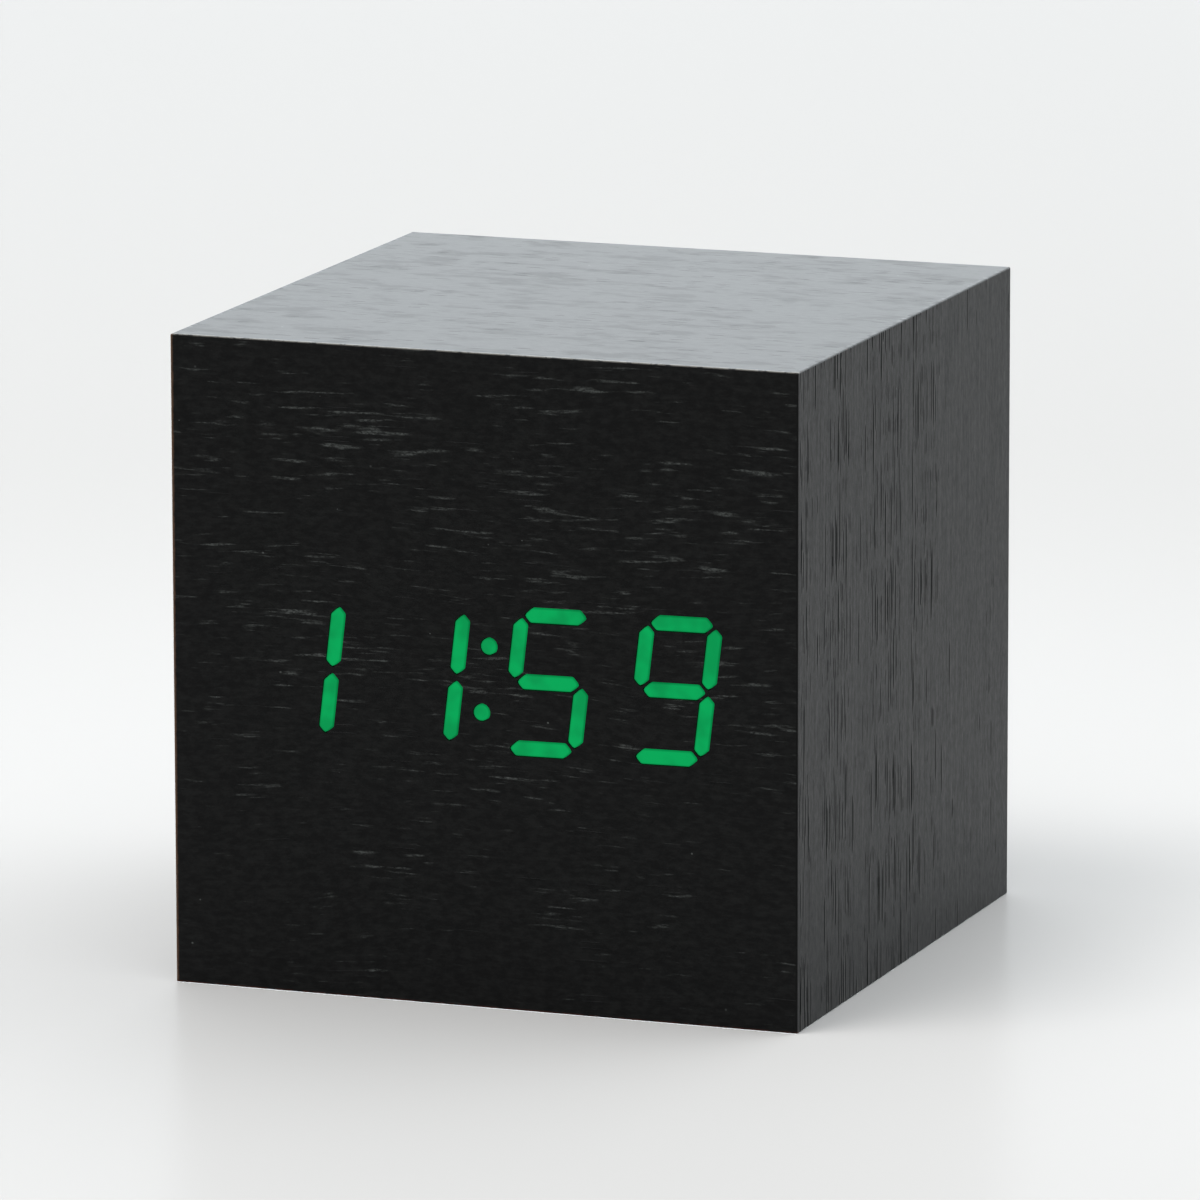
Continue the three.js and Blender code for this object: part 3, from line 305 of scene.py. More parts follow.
# Each glow: the way to its middle, how wide it reaches (cosines), how bright it is.
GLOWS = {
    "ceiling": (Vector((0.0, 0.0, 1.0)), 0.4, 1.0, 1.6),
    "wall behind": (Vector((-0.31, 0.92, 0.18)), 0.75, 1.0, 4.15),
    "side": (Vector((0.70, 0.62, 0.16)), 0.55, 1.0, 3.5),
    "front": (Vector((0.1, -0.66, 0.74)), 0.4, 1.0, 0.85),
    "below": (Vector((0.2, 0.3, -1.0)), -0.1, 0.9, 1.1),
}
SOFTBOX_PLACE = Vector((-0.36, -0.50, 1.26))
SOFTBOX_AIM = Vector((0.0, 0.0, 0.02))
SOFTBOX_SIZE = 0.60
SOFTBOX_POWER = 10.5


def light_room():
    world = bpy.data.worlds.new("studio_room")
    world.use_nodes = True
    bpy.context.scene.world = world
    nodes, links = world.node_tree.nodes, world.node_tree.links
    way = nodes.new("ShaderNodeTexCoord").outputs["Generated"]
    level = None
    for middle, start, end, brightness in GLOWS.values():
        facing = nodes.new("ShaderNodeVectorMath")
        facing.operation = "DOT_PRODUCT"
        facing.inputs[1].default_value = middle.normalized()
        links.new(way, facing.inputs[0])
        glow = nodes.new("ShaderNodeMapRange")
        glow.interpolation_type = "SMOOTHSTEP"
        for name, value in (("From Min", start), ("From Max", end), ("To Max", brightness)):
            glow.inputs[name].default_value = value
        links.new(facing.outputs["Value"], glow.inputs["Value"])
        total = nodes.new("ShaderNodeMath")
        total.inputs[1].default_value = ROOM_DIM
        links.new(glow.outputs[0], total.inputs[0])
        if level:
            links.new(level, total.inputs[1])
        level = total.outputs[0]
    background = nodes["Background"]
    background.inputs["Color"].default_value = (*SKY_COLOUR, 1)
    links.new(level, background.inputs["Strength"])


def hang_softbox():
    light = bpy.data.lights.new("softbox", "AREA")
    light.shape = "SQUARE"
    light.size = SOFTBOX_SIZE
    light.energy = SOFTBOX_POWER
    softbox = bpy.data.objects.new("softbox", light)
    facing = (SOFTBOX_AIM - SOFTBOX_PLACE).to_track_quat("-Z", "Y")
    softbox.matrix_world = Matrix.Translation(SOFTBOX_PLACE) @ facing.to_matrix().to_4x4()
    bpy.context.scene.collection.objects.link(softbox)


light_room()
hang_softbox()
bpy.context.scene.view_settings.view_transform = "Standard"
print("studio lit by a softbox and", len(GLOWS), "glows")

# %% [markdown]
# ## Black open-pored veneer
#
# Each face is a thin sheet of a ring-porous wood, stained black and left satin. Its
# pores are short cuts along the grain, 2 to 7 mm long and a tenth or two wide, and they
# crowd together in some growth bands. They read in three ways: as dark slits with a
# bright lip where light comes in at a flat angle, as pale broken streaks on the face
# where dust and filler catch the light, and as faint darker dashes on the bright top. A
# photograph of wood would fix all that at one scale and one light; here one recipe makes
# every sheet, and each sheet only says which way its grain runs and how open it is.
#
# A pore comes from a cell pattern that is stretched along the grain. The heart of each
# long cell is the pore, and the cell's own random colour says how long it is, how deep,
# and whether it is there at all. The pore is a lopsided groove: its floor climbs slowly
# to one side and falls back at once, so one wall shades it and the other is a thin lip.
# On the two side sheets that lip is also painted in the colour as a pale line beside each
# pore, a painted highlight.

# %% Pores
PORE_DEPTH = 0.20 * MM
PORE_SQUARENESS = 3.5
SEED_SHIFT = 17.3
HALF_SIDE = (high.x - low.x) / MM / 2
SIDE = 2 * HALF_SIDE


def pores(recipe, along, across, per_mm, reach, share, seed):
    """Short slits along the grain: how strong a slit is at the spot, and how deep."""
    a, b = (recipe.maths("MULTIPLY_ADD", part, scale, SEED_SHIFT * seed)
            for part, scale in zip((along, across), per_mm))
    cell = recipe.cells(recipe.join(a, b), "MINKOWSKI", PORE_SQUARENESS)
    chance, length, depth = recipe.split(cell["Color"])
    own_reach = recipe.step(length, 0.0, 1.0, 0.5 * reach, reach)
    closeness = recipe.maths("DIVIDE", cell["Distance"], own_reach)
    strength = recipe.times(recipe.below(chance, share), recipe.step(depth, 0.0, 1.0, 0.35, 1.0))
    slit = recipe.times(recipe.step(closeness, 1.0, 0.7), strength)
    middle = recipe.split(cell["Position"])[1]
    side = recipe.maths("DIVIDE", recipe.minus(b, middle), own_reach)
    return slit, recipe.times(slit, recipe.maths("MULTIPLY_ADD", side, 0.5, 0.35))


print(f"pores up to {PORE_DEPTH / MM:.1f} mm deep")

# %% [markdown]
# The edges show what the sheet is made of. Along the left and the bottom of the face the
# stain has rubbed through to brown wood, and along the top the cut edge of the sheet is
# ragged, half bare and half black. Elsewhere the sharp edges are only nibbled here and
# there. Each such line is a colour laid on where one coordinate comes close to an edge,
# broken up by a noise.

# %% Worn edges
BARE_WOOD = (0.085, 0.046, 0.027)
RED_WOOD = (0.070, 0.022, 0.013)
CUT_EDGE = (0.080, 0.073, 0.062)
PORE_BLACK = (0.0008, 0.0008, 0.0008)


def worn_line(recipe, tone, distance, width, colour, raggedness, cover):
    """Lays colour over tone within width of an edge; cover is the share that has worn."""
    ragged = recipe.plus(distance, recipe.times(raggedness, 0.7 * width))
    near = recipe.step(ragged, 1.2 * width, 0.6 * width)
    patchy = recipe.step(raggedness, 0.68 - 0.5 * cover, 0.76 - 0.5 * cover)
    return recipe.blend(recipe.times(near, patchy), tone, colour)


def arris_distance(recipe, x, y, z):
    """How far the spot is from the cube's nearest edge: the middle one of three gaps."""
    gaps = [recipe.gap(recipe.gap(value, centre), HALF_SIDE)
            for value, centre in ((x, 0.0), (y, 0.0), (z, HALF_SIDE))]
    total = recipe.plus(recipe.plus(gaps[0], gaps[1]), gaps[2])
    nearest = recipe.least(recipe.least(gaps[0], gaps[1]), gaps[2])
    farthest = recipe.most(recipe.most(gaps[0], gaps[1]), gaps[2])
    return recipe.minus(recipe.minus(total, nearest), farthest)


def front_edges(recipe, tone, x, z, raggedness):
    """The face's right, top, left and bottom edge, each with its width, colour and cover."""
    edges = (
        (recipe.gap(x, HALF_SIDE), 0.30, PORE_BLACK, 1.0),
        (recipe.gap(z, SIDE), 0.16, CUT_EDGE, 0.55),
        (recipe.gap(x, -HALF_SIDE), 0.40, BARE_WOOD, 0.9),
        (z, 0.28, RED_WOOD, 0.5),
    )
    for distance, width, colour, cover in edges:
        tone = worn_line(recipe, tone, distance, width, colour, raggedness, cover)
    return tone


print("edges worn to bare, red and cut wood")

# %% [markdown]
# The recipe of a sheet, from large to small: growth bands some millimetres wide, a mottle
# where the stain took unevenly, fibres a tenth of a millimetre wide, long pores and short
# pores. The same signals set the colour, the sheen and the relief, so that they agree: a
# pore is black, dull and sunken all at once.

# %% Grain and streaks
Sheet = namedtuple("Sheet", "grain across seed waver share per_mm bite lip streaks skin")
Grain = namedtuple("Grain", "u v bands fibres mottle clouds")


def read_grain(recipe, sheet, u, v):
    """The wandering grain: the straightened place across it, and its signals."""
    drift = recipe.noise((u, v), (0.022, 0.03), 1.0, layer=5.1 * sheet.seed)
    v = recipe.plus(v, recipe.step(drift, 0.3, 0.7, -sheet.waver, sheet.waver))
    bands = recipe.noise((u, v), (0.008, 0.26), 3.0, layer=3.7 * sheet.seed)
    fibres = recipe.noise((u, v), (0.28, 6.0), 3.0, 0.6, 2.3 * sheet.seed)
    mottle = recipe.noise((u, v), (0.9, 1.9), 5.0, 0.72, 1.3 * sheet.seed)
    clouds = recipe.noise((u, v), (0.06, 0.10), 3.0, layer=1.9 * sheet.seed)
    return Grain(u, v, bands, fibres, mottle, clouds)


def pale_streaks(recipe, sheet, grain):
    """Soft broken streaks along the grain, thicker in some clouds and rare near the foot."""
    place = (grain.u, grain.v)
    length = recipe.noise(place, (0.24, 2.3), 2.0, 0.55, 7.7 * sheet.seed)
    rarer = recipe.plus(recipe.step(grain.clouds, 0.36, 0.66, 0.05, -0.03),
                        recipe.step(grain.v, 36, 16, 0.0, 0.05))
    edge = recipe.plus(0.70 - sheet.streaks, rarer)
    streak = recipe.step(length, edge, recipe.plus(edge, 0.18))
    broken = recipe.noise(place, (2.2, 5.0), 4.0, 0.75, sheet.seed)
    return recipe.times(streak, recipe.step(broken, 0.36, 0.64, 0.05, 1.0))


print("signals of a sheet:", *Grain._fields)

# %% Pores of a sheet
LONG_REACH = 0.42
SHORT_REACH = 0.34
SHORT_PER_MM = (0.30, 4.0)
END_GRAIN = 0.12


def crowding(recipe, sheet, grain):
    """The share of cells with a pore: more in some bands, and on the sides near the front."""
    crowd = recipe.times(recipe.step(grain.bands, 0.42, 0.58, 0.15, 1.0), sheet.share)
    if sheet.lip:
        crowd = recipe.times(crowd, recipe.step(grain.v, -2.0, 16.0, 1.0, 0.16))
    # A pore never shows on the end of its own grain.
    grain_middle = HALF_SIDE if sheet.grain == "z" else 0.0
    from_end = recipe.gap(recipe.gap(grain.u, grain_middle), HALF_SIDE)
    return recipe.times(crowd, recipe.above(from_end, END_GRAIN))


def sheet_pores(recipe, sheet, grain, crowd):
    """Long and short pores together: how black the slits are, and how deep."""
    u, v = grain.u, grain.v
    slits, grooves = pores(recipe, u, v, sheet.per_mm, LONG_REACH, crowd, sheet.seed)
    fewer = recipe.times(crowd, 0.6)
    short = pores(recipe, u, v, SHORT_PER_MM, SHORT_REACH, fewer, sheet.seed + 1)
    slits = recipe.most(slits, recipe.times(short[0], 0.7))
    grooves = recipe.plus(grooves, recipe.times(short[1], 0.5))
    return recipe.times(slits, sheet.bite), recipe.times(grooves, sheet.bite)


print(f"no pore within {END_GRAIN} mm of the end of the grain")

# %% Stained wood
STAIN = (0.0012, 0.0013, 0.0013)
STAIN_WORN = (0.0066, 0.0068, 0.0065)
# A painted highlight: the pale lip laid beside each pore on the side sheets.
LIP_PAINTED_HIGHLIGHT = (0.030, 0.030, 0.028)
LIP_HIGHLIGHT_OFFSET = 0.26
PALE_FILLER = (0.064, 0.068, 0.064)
DUST_PER_MM = (1.2, 1.3)
DUST_REACH = 0.14
DUST_SHARE = 0.003
ARRIS_WEAR = 0.12
VENEER_ROUGHNESS = 0.43
VENEER_IOR = 1.225


def sheet_tone(recipe, sheet, grain, crowd, slits):
    """The stain on mottle and fibres, then the painted highlight on the pores' lips, the slits,
    streaks and dust.
    """
    tone = recipe.blend(recipe.step(grain.mottle, 0.36, 0.68), STAIN, STAIN_WORN)
    tone = recipe.blend(recipe.step(grain.fibres, 0.58, 0.36, 0.0, 0.3), tone, PORE_BLACK)
    # On the side sheets a pale line beside each pore is a painted highlight on its lip.
    if sheet.lip:
        aside = recipe.minus(grain.v, LIP_HIGHLIGHT_OFFSET)
        painted_lip_highlight = pores(recipe, grain.u, aside, sheet.per_mm, LONG_REACH, crowd, sheet.seed)[0]
        tone = recipe.blend(recipe.times(painted_lip_highlight, sheet.lip), tone, LIP_PAINTED_HIGHLIGHT)
    tone = recipe.blend(slits, tone, PORE_BLACK)
    if sheet.streaks:
        tone = recipe.blend(pale_streaks(recipe, sheet, grain), tone, PALE_FILLER)
    specks = pores(recipe, grain.u, grain.v, DUST_PER_MM, DUST_REACH, DUST_SHARE, sheet.seed + 3)
    return recipe.blend(specks[0], tone, PALE_FILLER)


def sheet_sheen(recipe, sheet, grain, slits):
    """Satin that varies with the mottle, duller in soft patches and in the pores."""
    uneven = 0.05 * sheet.skin
    dull, bright = VENEER_ROUGHNESS + uneven, VENEER_ROUGHNESS - uneven
    rough = recipe.step(grain.mottle, 0.3, 0.7, dull, bright)
    patches = recipe.noise((grain.u, grain.v), (0.20, 0.45), 3.0, 0.6, 6.1 * sheet.seed)
    rough = recipe.plus(rough, recipe.step(patches, 0.48, 0.66, 0.0, 0.035))
    recipe.feed("Roughness", recipe.maths("MULTIPLY_ADD", slits, 0.5, rough))


def sheet_relief(recipe, sheet, grain, grooves):
    """Mottle, fibres and a slow ripple across the grain, and the grooves of the pores."""
    ripple = recipe.noise((grain.u, grain.v), (0.05, 0.9), 2.0, 0.6, 4.9 * sheet.seed)
    height = recipe.times(grain.mottle, 0.10 * sheet.skin)
    height = recipe.maths("MULTIPLY_ADD", grain.fibres, 0.05 * sheet.skin, height)
    height = recipe.maths("MULTIPLY_ADD", ripple, 0.22 * sheet.skin, height)
    recipe.relief(recipe.plus(height, grooves), PORE_DEPTH)


def stained_veneer(name, sheet):
    recipe = Recipe(name, STAIN, VENEER_ROUGHNESS, ior=VENEER_IOR)
    x, y, z = recipe.place()
    axes = {"x": x, "y": y, "z": z}
    grain = read_grain(recipe, sheet, axes[sheet.grain], axes[sheet.across])
    crowd = crowding(recipe, sheet, grain)
    slits, grooves = sheet_pores(recipe, sheet, grain, crowd)
    tone = sheet_tone(recipe, sheet, grain, crowd, slits)
    nibble = recipe.noise((x, y, z), 1.3, 4.0, 0.7)
    arris = arris_distance(recipe, x, y, z)
    tone = worn_line(recipe, tone, arris, ARRIS_WEAR, BARE_WOOD, nibble, 0.22)
    if name == "front_veneer":
        tone = front_edges(recipe, tone, x, z, nibble)
    recipe.feed("Base Color", tone)
    sheet_sheen(recipe, sheet, grain, slits)
    sheet_relief(recipe, sheet, grain, grooves)
    return recipe.material


# Each sheet: the way of its grain and the way across, its seed, how far the grain wavers
# in mm, the share of cells with a pore, cells per mm along and across, the pores' bite,
# their lip's painted highlight, the share of pale streaks, and how rough the skin is.
VENEERS = {
    "front_veneer": Sheet("x", "z", 1, 0.7, 0.10, (0.16, 2.6), 0.15, 0.0, 0.125, 0.7),
    "top_veneer": Sheet("x", "y", 4, 0.3, 0.20, (0.34, 2.8), 0.11, 0.0, 0.0, 0.10),
    "right_veneer": Sheet("z", "y", 7, 0.10, 0.60, (0.115, 2.3), 1.0, 0.8, 0.0, 1.0),
    "left_veneer": Sheet("z", "y", 10, 0.2, 0.40, (0.13, 2.3), 1.0, 0.6, 0.0, 1.0),
    "rear_veneer": Sheet("x", "z", 13, 0.6, 0.2, (0.16, 2.6), 0.6, 0.0, 0.08, 0.8),
    "base_veneer": Sheet("x", "y", 16, 0.4, 0.25, (0.2, 2.6), 0.8, 0.0, 0.0, 0.8),
}


def wear(node, material):
    """Gives a frame piece its finish."""
    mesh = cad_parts[node].data
    mesh.materials.clear()
    mesh.materials.append(material)


for node, sheet in VENEERS.items():
    wear(node, stained_veneer(node, sheet))
print(len(VENEERS), "sheets of veneer")

# %% [markdown]
# ## Shaping helpers
#
# The frame's solids have sharp edges and few facets. A moulded piece is taken over as a
# copy whose outer edges get a narrow round, as a mould leaves them. A turned piece is
# drawn as a profile and swept round its axis in 64 steps. Where a hole goes through both,
# one mesh is carved out of another. Each helper hands back a mesh that is still open to
# change, and the last one makes it a piece of the clock.

# %% Take and soften
WELD = 0.0005 * MM
FLAT = math.radians(1)
OUTER_CORNER = math.radians(30)


def take_mesh(node):
    """A frame piece's mesh as an editable copy, its split corners welded again."""
    shape = bmesh.new()
    shape.from_mesh(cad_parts[node].data)
    bmesh.ops.remove_doubles(shape, verts=shape.verts, dist=WELD)
    bmesh.ops.dissolve_limit(shape, angle_limit=FLAT, verts=shape.verts, edges=shape.edges)
    return shape


def soften(shape, width, sharp_at=None):
    """Rounds the outer edges to a width in mm, but for the places that stay sharp."""
    edges = [edge for edge in shape.edges
             if edge.is_manifold and edge.calc_face_angle_signed() > OUTER_CORNER]
    if sharp_at:
        edges = [edge for edge in edges
                 if not sharp_at((edge.verts[0].co + edge.verts[1].co) / 2 / MM)]
    bmesh.ops.bevel(shape, geom=edges, offset=width * MM, offset_type="OFFSET", segments=2,
                    profile=0.5, affect="EDGES", clamp_overlap=False)
    return shape


print("outer edges over", round(math.degrees(OUTER_CORNER)), "degrees get a round")

# %% Turn and extrude
TURN_STEPS = 64


def spot_at(axis, height, a, b):
    """A place in metres: height along the axis, a and b across it, all in mm."""
    spot = {"X": (height, a, b), "Y": (b, height, a), "Z": (a, b, height)}[axis]
    return Vector(spot) * MM


def turn(profile, centre, axis="Y", steps=TURN_STEPS):
    """Sweeps a profile of (radius, height) in mm round an axis through centre."""
    shape = bmesh.new()
    rings = []
    for radius, height in profile:
        count = steps if radius > 0 else 1
        ring = []
        for i in range(count):
            angle = 2 * math.pi * i / count
            a, b = radius * math.cos(angle), radius * math.sin(angle)
            ring.append(shape.verts.new(spot_at(axis, height, a, b) + centre))
        rings.append(ring)
    for lower, upper in zip(rings, rings[1:]):
        for i in range(steps):
            spots = [lower[i % len(lower)], lower[(i + 1) % len(lower)],
                     upper[(i + 1) % len(upper)], upper[i % len(upper)]]
            corners = list(dict.fromkeys(spots))
            if len(corners) > 2:
                shape.faces.new(corners)
    bmesh.ops.recalc_face_normals(shape, faces=shape.faces)
    return shape


def prism(outline, span, centre, axis="Y", taper=1.0):
    """A straight or tapered bar with an outline of (a, b) corners in mm."""
    shape = bmesh.new()
    ends = []
    for height, scale in zip(span, (1.0, taper)):
        places = [spot_at(axis, height, a * scale, b * scale) + centre for a, b in outline]
        ends.append([shape.verts.new(place) for place in places])
    shape.faces.new(ends[0])
    shape.faces.new(ends[1])
    for i, vert in enumerate(ends[0]):
        j = (i + 1) % len(outline)
        shape.faces.new([vert, ends[0][j], ends[1][j], ends[1][i]])
    bmesh.ops.recalc_face_normals(shape, faces=shape.faces)
    return shape


def block(low_corner, high_corner):
    """A box between two corners in metres."""
    shape = bmesh.new()
    middle = (Vector(low_corner) + Vector(high_corner)) / 2
    size = Vector(high_corner) - Vector(low_corner)
    place = Matrix.Translation(middle) @ Matrix.Diagonal((*size, 1))
    bmesh.ops.create_cube(shape, size=1.0, matrix=place)
    return shape


print("turned pieces have", TURN_STEPS, "sides")

# %% Carve and finish
SMOOTH_BELOW = math.radians(35)


def carve(shape, tool, operation="DIFFERENCE"):
    """Cuts the tool out of the shape, or joins the two."""
    objects = []
    for name, mesh_source in (("stock", shape), ("tool", tool)):
        mesh = bpy.data.meshes.new(name)
        mesh_source.to_mesh(mesh)
        mesh_source.free()
        objects.append(bpy.data.objects.new(name, mesh))
        bpy.context.scene.collection.objects.link(objects[-1])
    cut = objects[0].modifiers.new("cut", "BOOLEAN")
    cut.operation = operation
    cut.solver = "EXACT"
    cut.object = objects[1]
    result = bmesh.new()
    result.from_object(objects[0], bpy.context.evaluated_depsgraph_get())
    for thing in objects:
        bpy.data.objects.remove(thing)
    return result


def finish_piece(name, shape, material, body, replaced=()):
    """Turns an edited mesh into a piece of the clock."""
    loose = sum(not edge.is_manifold for edge in shape.edges)
    if loose:
        print(f"{name}: {loose} open edges")
    mesh = bpy.data.meshes.new(name)
    shape.to_mesh(mesh)
    shape.free()
    mesh.shade_smooth()
    mesh.set_sharp_from_angle(angle=SMOOTH_BELOW)
    piece = bpy.data.objects.new(name, mesh)
    bpy.context.scene.collection.objects.link(piece)
    mesh.materials.append(material)
    # Large faces keep their own normal, so only the narrow rounds are shaded round.
    weights = piece.modifiers.new("flat_faces", "WEIGHTED_NORMAL")
    weights.weight = 100
    weights.keep_sharp = True
    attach(piece, body)
    if replaced:
        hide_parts(*replaced)


print("edges under", round(math.degrees(SMOOTH_BELOW)), "degrees are shaded smooth")

# %% [markdown]
# ## Lit strokes
#
# Behind the veneer each stroke of a digit is a well filled with clear resin, lit by one
# chip at its bottom. From the front it is an even patch of green with slightly dimmer
# ends and a soft rim. A light inside the resin would be the real way, but it costs
# noise; emission from the surface gives the same flat glow.
#
# The rim needs to know how far it is from the stroke's outline. So the front of each
# stroke gets a narrow inset ring, and a vertex attribute that is 0 on the outline and 1
# inside it, which the finish reads.

# %% Green resin
GLOW = (0.0, 0.372, 0.092)
GLOW_DIM = (0.0, 0.262, 0.066)
RESIN = (0.0005, 0.012, 0.004)
RIM_WIDTH = 0.16 * MM
RIM_GLOW = 0.72
FACE_DEPTH = 0.02 * MM


def glowing_resin():
    recipe = Recipe("glowing_resin", RESIN, 0.43, ior=1.15)
    x, y, z = recipe.place()
    uneven = recipe.noise((x, 0.0, z), 0.33)
    tone = recipe.blend(recipe.step(uneven, 0.62, 0.35, 0.0, 0.8), GLOW, GLOW_DIM)
    inside = recipe.node("Attribute", {"attribute_name": "inside"}, {}, "Fac")
    recipe.feed("Emission Color", tone)
    recipe.feed("Emission Strength", recipe.step(inside, 0.0, 1.0, RIM_GLOW, 1.0))
    recipe.feed("Roughness", recipe.step(uneven, 0.3, 0.7, 0.40, 0.47))
    return recipe.material


def light_guide():
    shape = take_mesh("light_guide")
    inside = shape.verts.layers.float.new("inside")
    for vert in shape.verts:
        vert[inside] = 0.0
    fronts = [face for face in shape.faces if face.calc_center_median().y < low.y + FACE_DEPTH]
    bmesh.ops.inset_individual(shape, faces=fronts, thickness=RIM_WIDTH, use_even_offset=True)
    for face in fronts:
        for vert in face.verts:
            vert[inside] = 1.0
    print(len(fronts), "lit strokes and dots")
    finish_piece("lit_light_guide", shape, glowing_resin(), "casing", ["light_guide"])


light_guide()

# %% [markdown]
# ## Moulded plastic
#
# The panel, the tray, the door and the buttons come from steel moulds with a fine
# spark-eroded texture, which breaks up the highlights. Handling polishes it in soft
# patches. The texture is a noise a tenth of a millimetre wide, laid on as relief and as a
# paler speckle on its peaks, which is a painted sheen; the polish is a second, broad noise
# on the roughness, and the same broad noise darkens the tone a little in patches.

# %% Moulded finishes
BLACK_PLASTIC = (0.012, 0.012, 0.013)
GREY_PLASTIC = (0.045, 0.046, 0.050)
CHIP_BLACK = (0.010, 0.010, 0.010)
NYLON = (0.62, 0.58, 0.49)


def moulded(name, colour, roughness, bite, per_mm):
    """Textured plastic; bite is how deep the texture is, in mm."""
    recipe = Recipe(name, colour, roughness, ior=1.46)
    spot = recipe.place()
    fine = recipe.noise(spot, per_mm, 2.0, 0.6)
    broad = recipe.noise(spot, 0.22, 3.0)
    tone = recipe.blend(recipe.step(broad, 0.35, 0.65), colour, shade(colour, 0.7))
    # Painted sheen: a paler speckle on the texture's peaks.
    tone = recipe.blend(recipe.step(fine, 0.56, 0.72, 0.0, 0.7), tone, shade(colour, 1.5, 0.002))
    recipe.feed("Base Color", tone)
    polish = recipe.step(broad, 0.3, 0.7, roughness - 0.11, roughness + 0.06)
    recipe.feed("Roughness", recipe.plus(polish, recipe.step(fine, 0.3, 0.7, -0.04, 0.04)))
    recipe.relief(fine, bite * MM)
    return recipe.material


black_plastic = moulded("black_plastic", BLACK_PLASTIC, 0.47, 0.060, 4.5)
grey_plastic = moulded("grey_plastic", GREY_PLASTIC, 0.40, 0.030, 6.0)
chip_black = moulded("chip_black", CHIP_BLACK, 0.52, 0.030, 8.0)
nylon = moulded("nylon", NYLON, 0.42, 0.012, 7.0)
print("four moulded finishes")

# %% [markdown]
# ## Control panel and buttons
#
# The panel is one moulding; the softened copy of the frame's solid has everything but the
# round edges. The buttons are turned again: a flange that stays behind the panel, a neck,
# a rounded brim and a dish for the finger tip. Each dish carries a plain mark in a second,
# pale plastic, a ring to set and two triangles that point up and down. A print would be
# cheaper, but it wears off; the second plastic goes all the way down.


# %% Places and profiles
def centre_of(node):
    low_corner, high_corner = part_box(node)
    return (low_corner + high_corner) / 2


def axis_through(node, axis="Y"):
    """A piece's middle with the part along the axis left out, which a profile adds."""
    place = centre_of(node)
    place["XYZ".index(axis)] = 0
    return place


def arc(radius, height, size, start, end, steps=5):
    """Points of (radius, height) on a round of the given size, angles in degrees."""
    points = []
    for i in range(steps + 1):
        angle = math.radians(start + (end - start) * i / steps)
        points.append((radius + size * math.cos(angle), height + size * math.sin(angle)))
    return points


def rounded(radius, height, size, steps=5):
    """The outer corner at (radius, height), with a round of the given size."""
    return arc(radius - size, height - size, size, 0, 90, steps)


def dish(radius, top, depth, steps=6):
    """A shallow bowl from its edge to its middle."""
    shares = [1 - i / steps for i in range(steps + 1)]
    return [(radius * share, top - depth * (1 - share ** 2)) for share in shares]


print("the buttons' axes lie at x =", [round(centre_of(f"{key}_button").x / MM, 1)
                                       for key in ("set", "up", "down")])

# %% Buttons and their marks
CAP_RADIUS = 2.297
FLANGE_RADIUS = 2.963
FLANGE_TOP = 27.7
FLANGE_ROUND = 0.12
FOOT_ROUND = 0.15
BRIM_ROUND = 0.34
BRIM_FLAT = 0.05
DISH_DEPTH = 0.25
MARK_REACH = 1.1
MARK_WIDTH = 0.36
MARK_HEIGHT = 0.10
MARK_ROOT = 0.3
MARK_ROUND = 0.05


def button_cap(node, key):
    low_corner, high_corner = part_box(node)
    bottom, top = low_corner.y / MM, high_corner.y / MM
    profile = [(0, bottom), (FLANGE_RADIUS - FOOT_ROUND, bottom)]
    profile += arc(FLANGE_RADIUS - FOOT_ROUND, bottom + FOOT_ROUND, FOOT_ROUND, -90, 0, 3)
    profile += rounded(FLANGE_RADIUS, FLANGE_TOP, FLANGE_ROUND, 3)
    profile += [(CAP_RADIUS, FLANGE_TOP)]
    profile += rounded(CAP_RADIUS, top, BRIM_ROUND, 6)
    profile += dish(CAP_RADIUS - BRIM_ROUND - BRIM_FLAT, top, DISH_DEPTH)
    cap = turn(profile, axis_through(node))
    finish_piece(f"{key}_button_cap", cap, grey_plastic, f"{key}_key", [node])
    return top


def button_mark(node, key, top):
    """The mark stands in the dish, its top a little above the bottom of the bowl."""
    root, crown = top - DISH_DEPTH - MARK_ROOT, top - DISH_DEPTH + MARK_HEIGHT
    if key == "set":
        inner = MARK_REACH - MARK_WIDTH
        rim = [(inner, root), (MARK_REACH, root), (MARK_REACH, crown - MARK_ROUND),
               (MARK_REACH - MARK_ROUND, crown), (inner + MARK_ROUND, crown),
               (inner, crown - MARK_ROUND), (inner, root)]
        raised = turn(rim, axis_through(node))
        bmesh.ops.remove_doubles(raised, verts=raised.verts, dist=WELD)
    else:
        way = MARK_REACH if key == "up" else -MARK_REACH
        thirds = (0, 2 * math.pi / 3, 4 * math.pi / 3)
        outline = [(way * math.cos(angle), way * math.sin(angle)) for angle in thirds]
        raised = soften(prism(outline, (root, crown), axis_through(node)), MARK_ROUND)
    finish_piece(f"{key}_button_mark", raised, nylon, f"{key}_key")


print(f"buttons {2 * CAP_RADIUS:.1f} mm thick, with a dish {DISH_DEPTH} mm deep")

# %% Panel
PANEL_ROUND = 0.18
PANEL_BACK = 28.9
SOCKET_HOLE = 3.3
socket_x = centre_of("power_socket").x / MM


def panel_stays_sharp(place):
    """The panel's hidden side, and the hole that the power socket fills."""
    return place.y < PANEL_BACK or abs(place.x - socket_x) < SOCKET_HOLE


panel = soften(take_mesh("control_panel"), PANEL_ROUND, panel_stays_sharp)
finish_piece("moulded_panel", panel, black_plastic, "casing", ["control_panel"])
for key in ("set", "up", "down"):
    cap_top = button_cap(f"{key}_button", key)
    button_mark(f"{key}_button", key, cap_top)
print("panel and three buttons")

# %% [markdown]
# ## Power socket
#
# A barrel socket is a square body with a round nose and a deep bore, with a pin on its
# axis. Body and nose are joined first and the bore goes through both, as the mould's core
# pin does; so it is drawn by carving, where two loose shells would show a seam inside.

# %% Socket
BODY_ROUND = 0.25
NOSE_RADIUS = 2.7
NOSE_ROUND = 0.2
NOSE_ROOT = 0.6
BORE_RADIUS = 1.9
BORE_FLOOR = 22.9
BORE_FUNNEL = 0.3


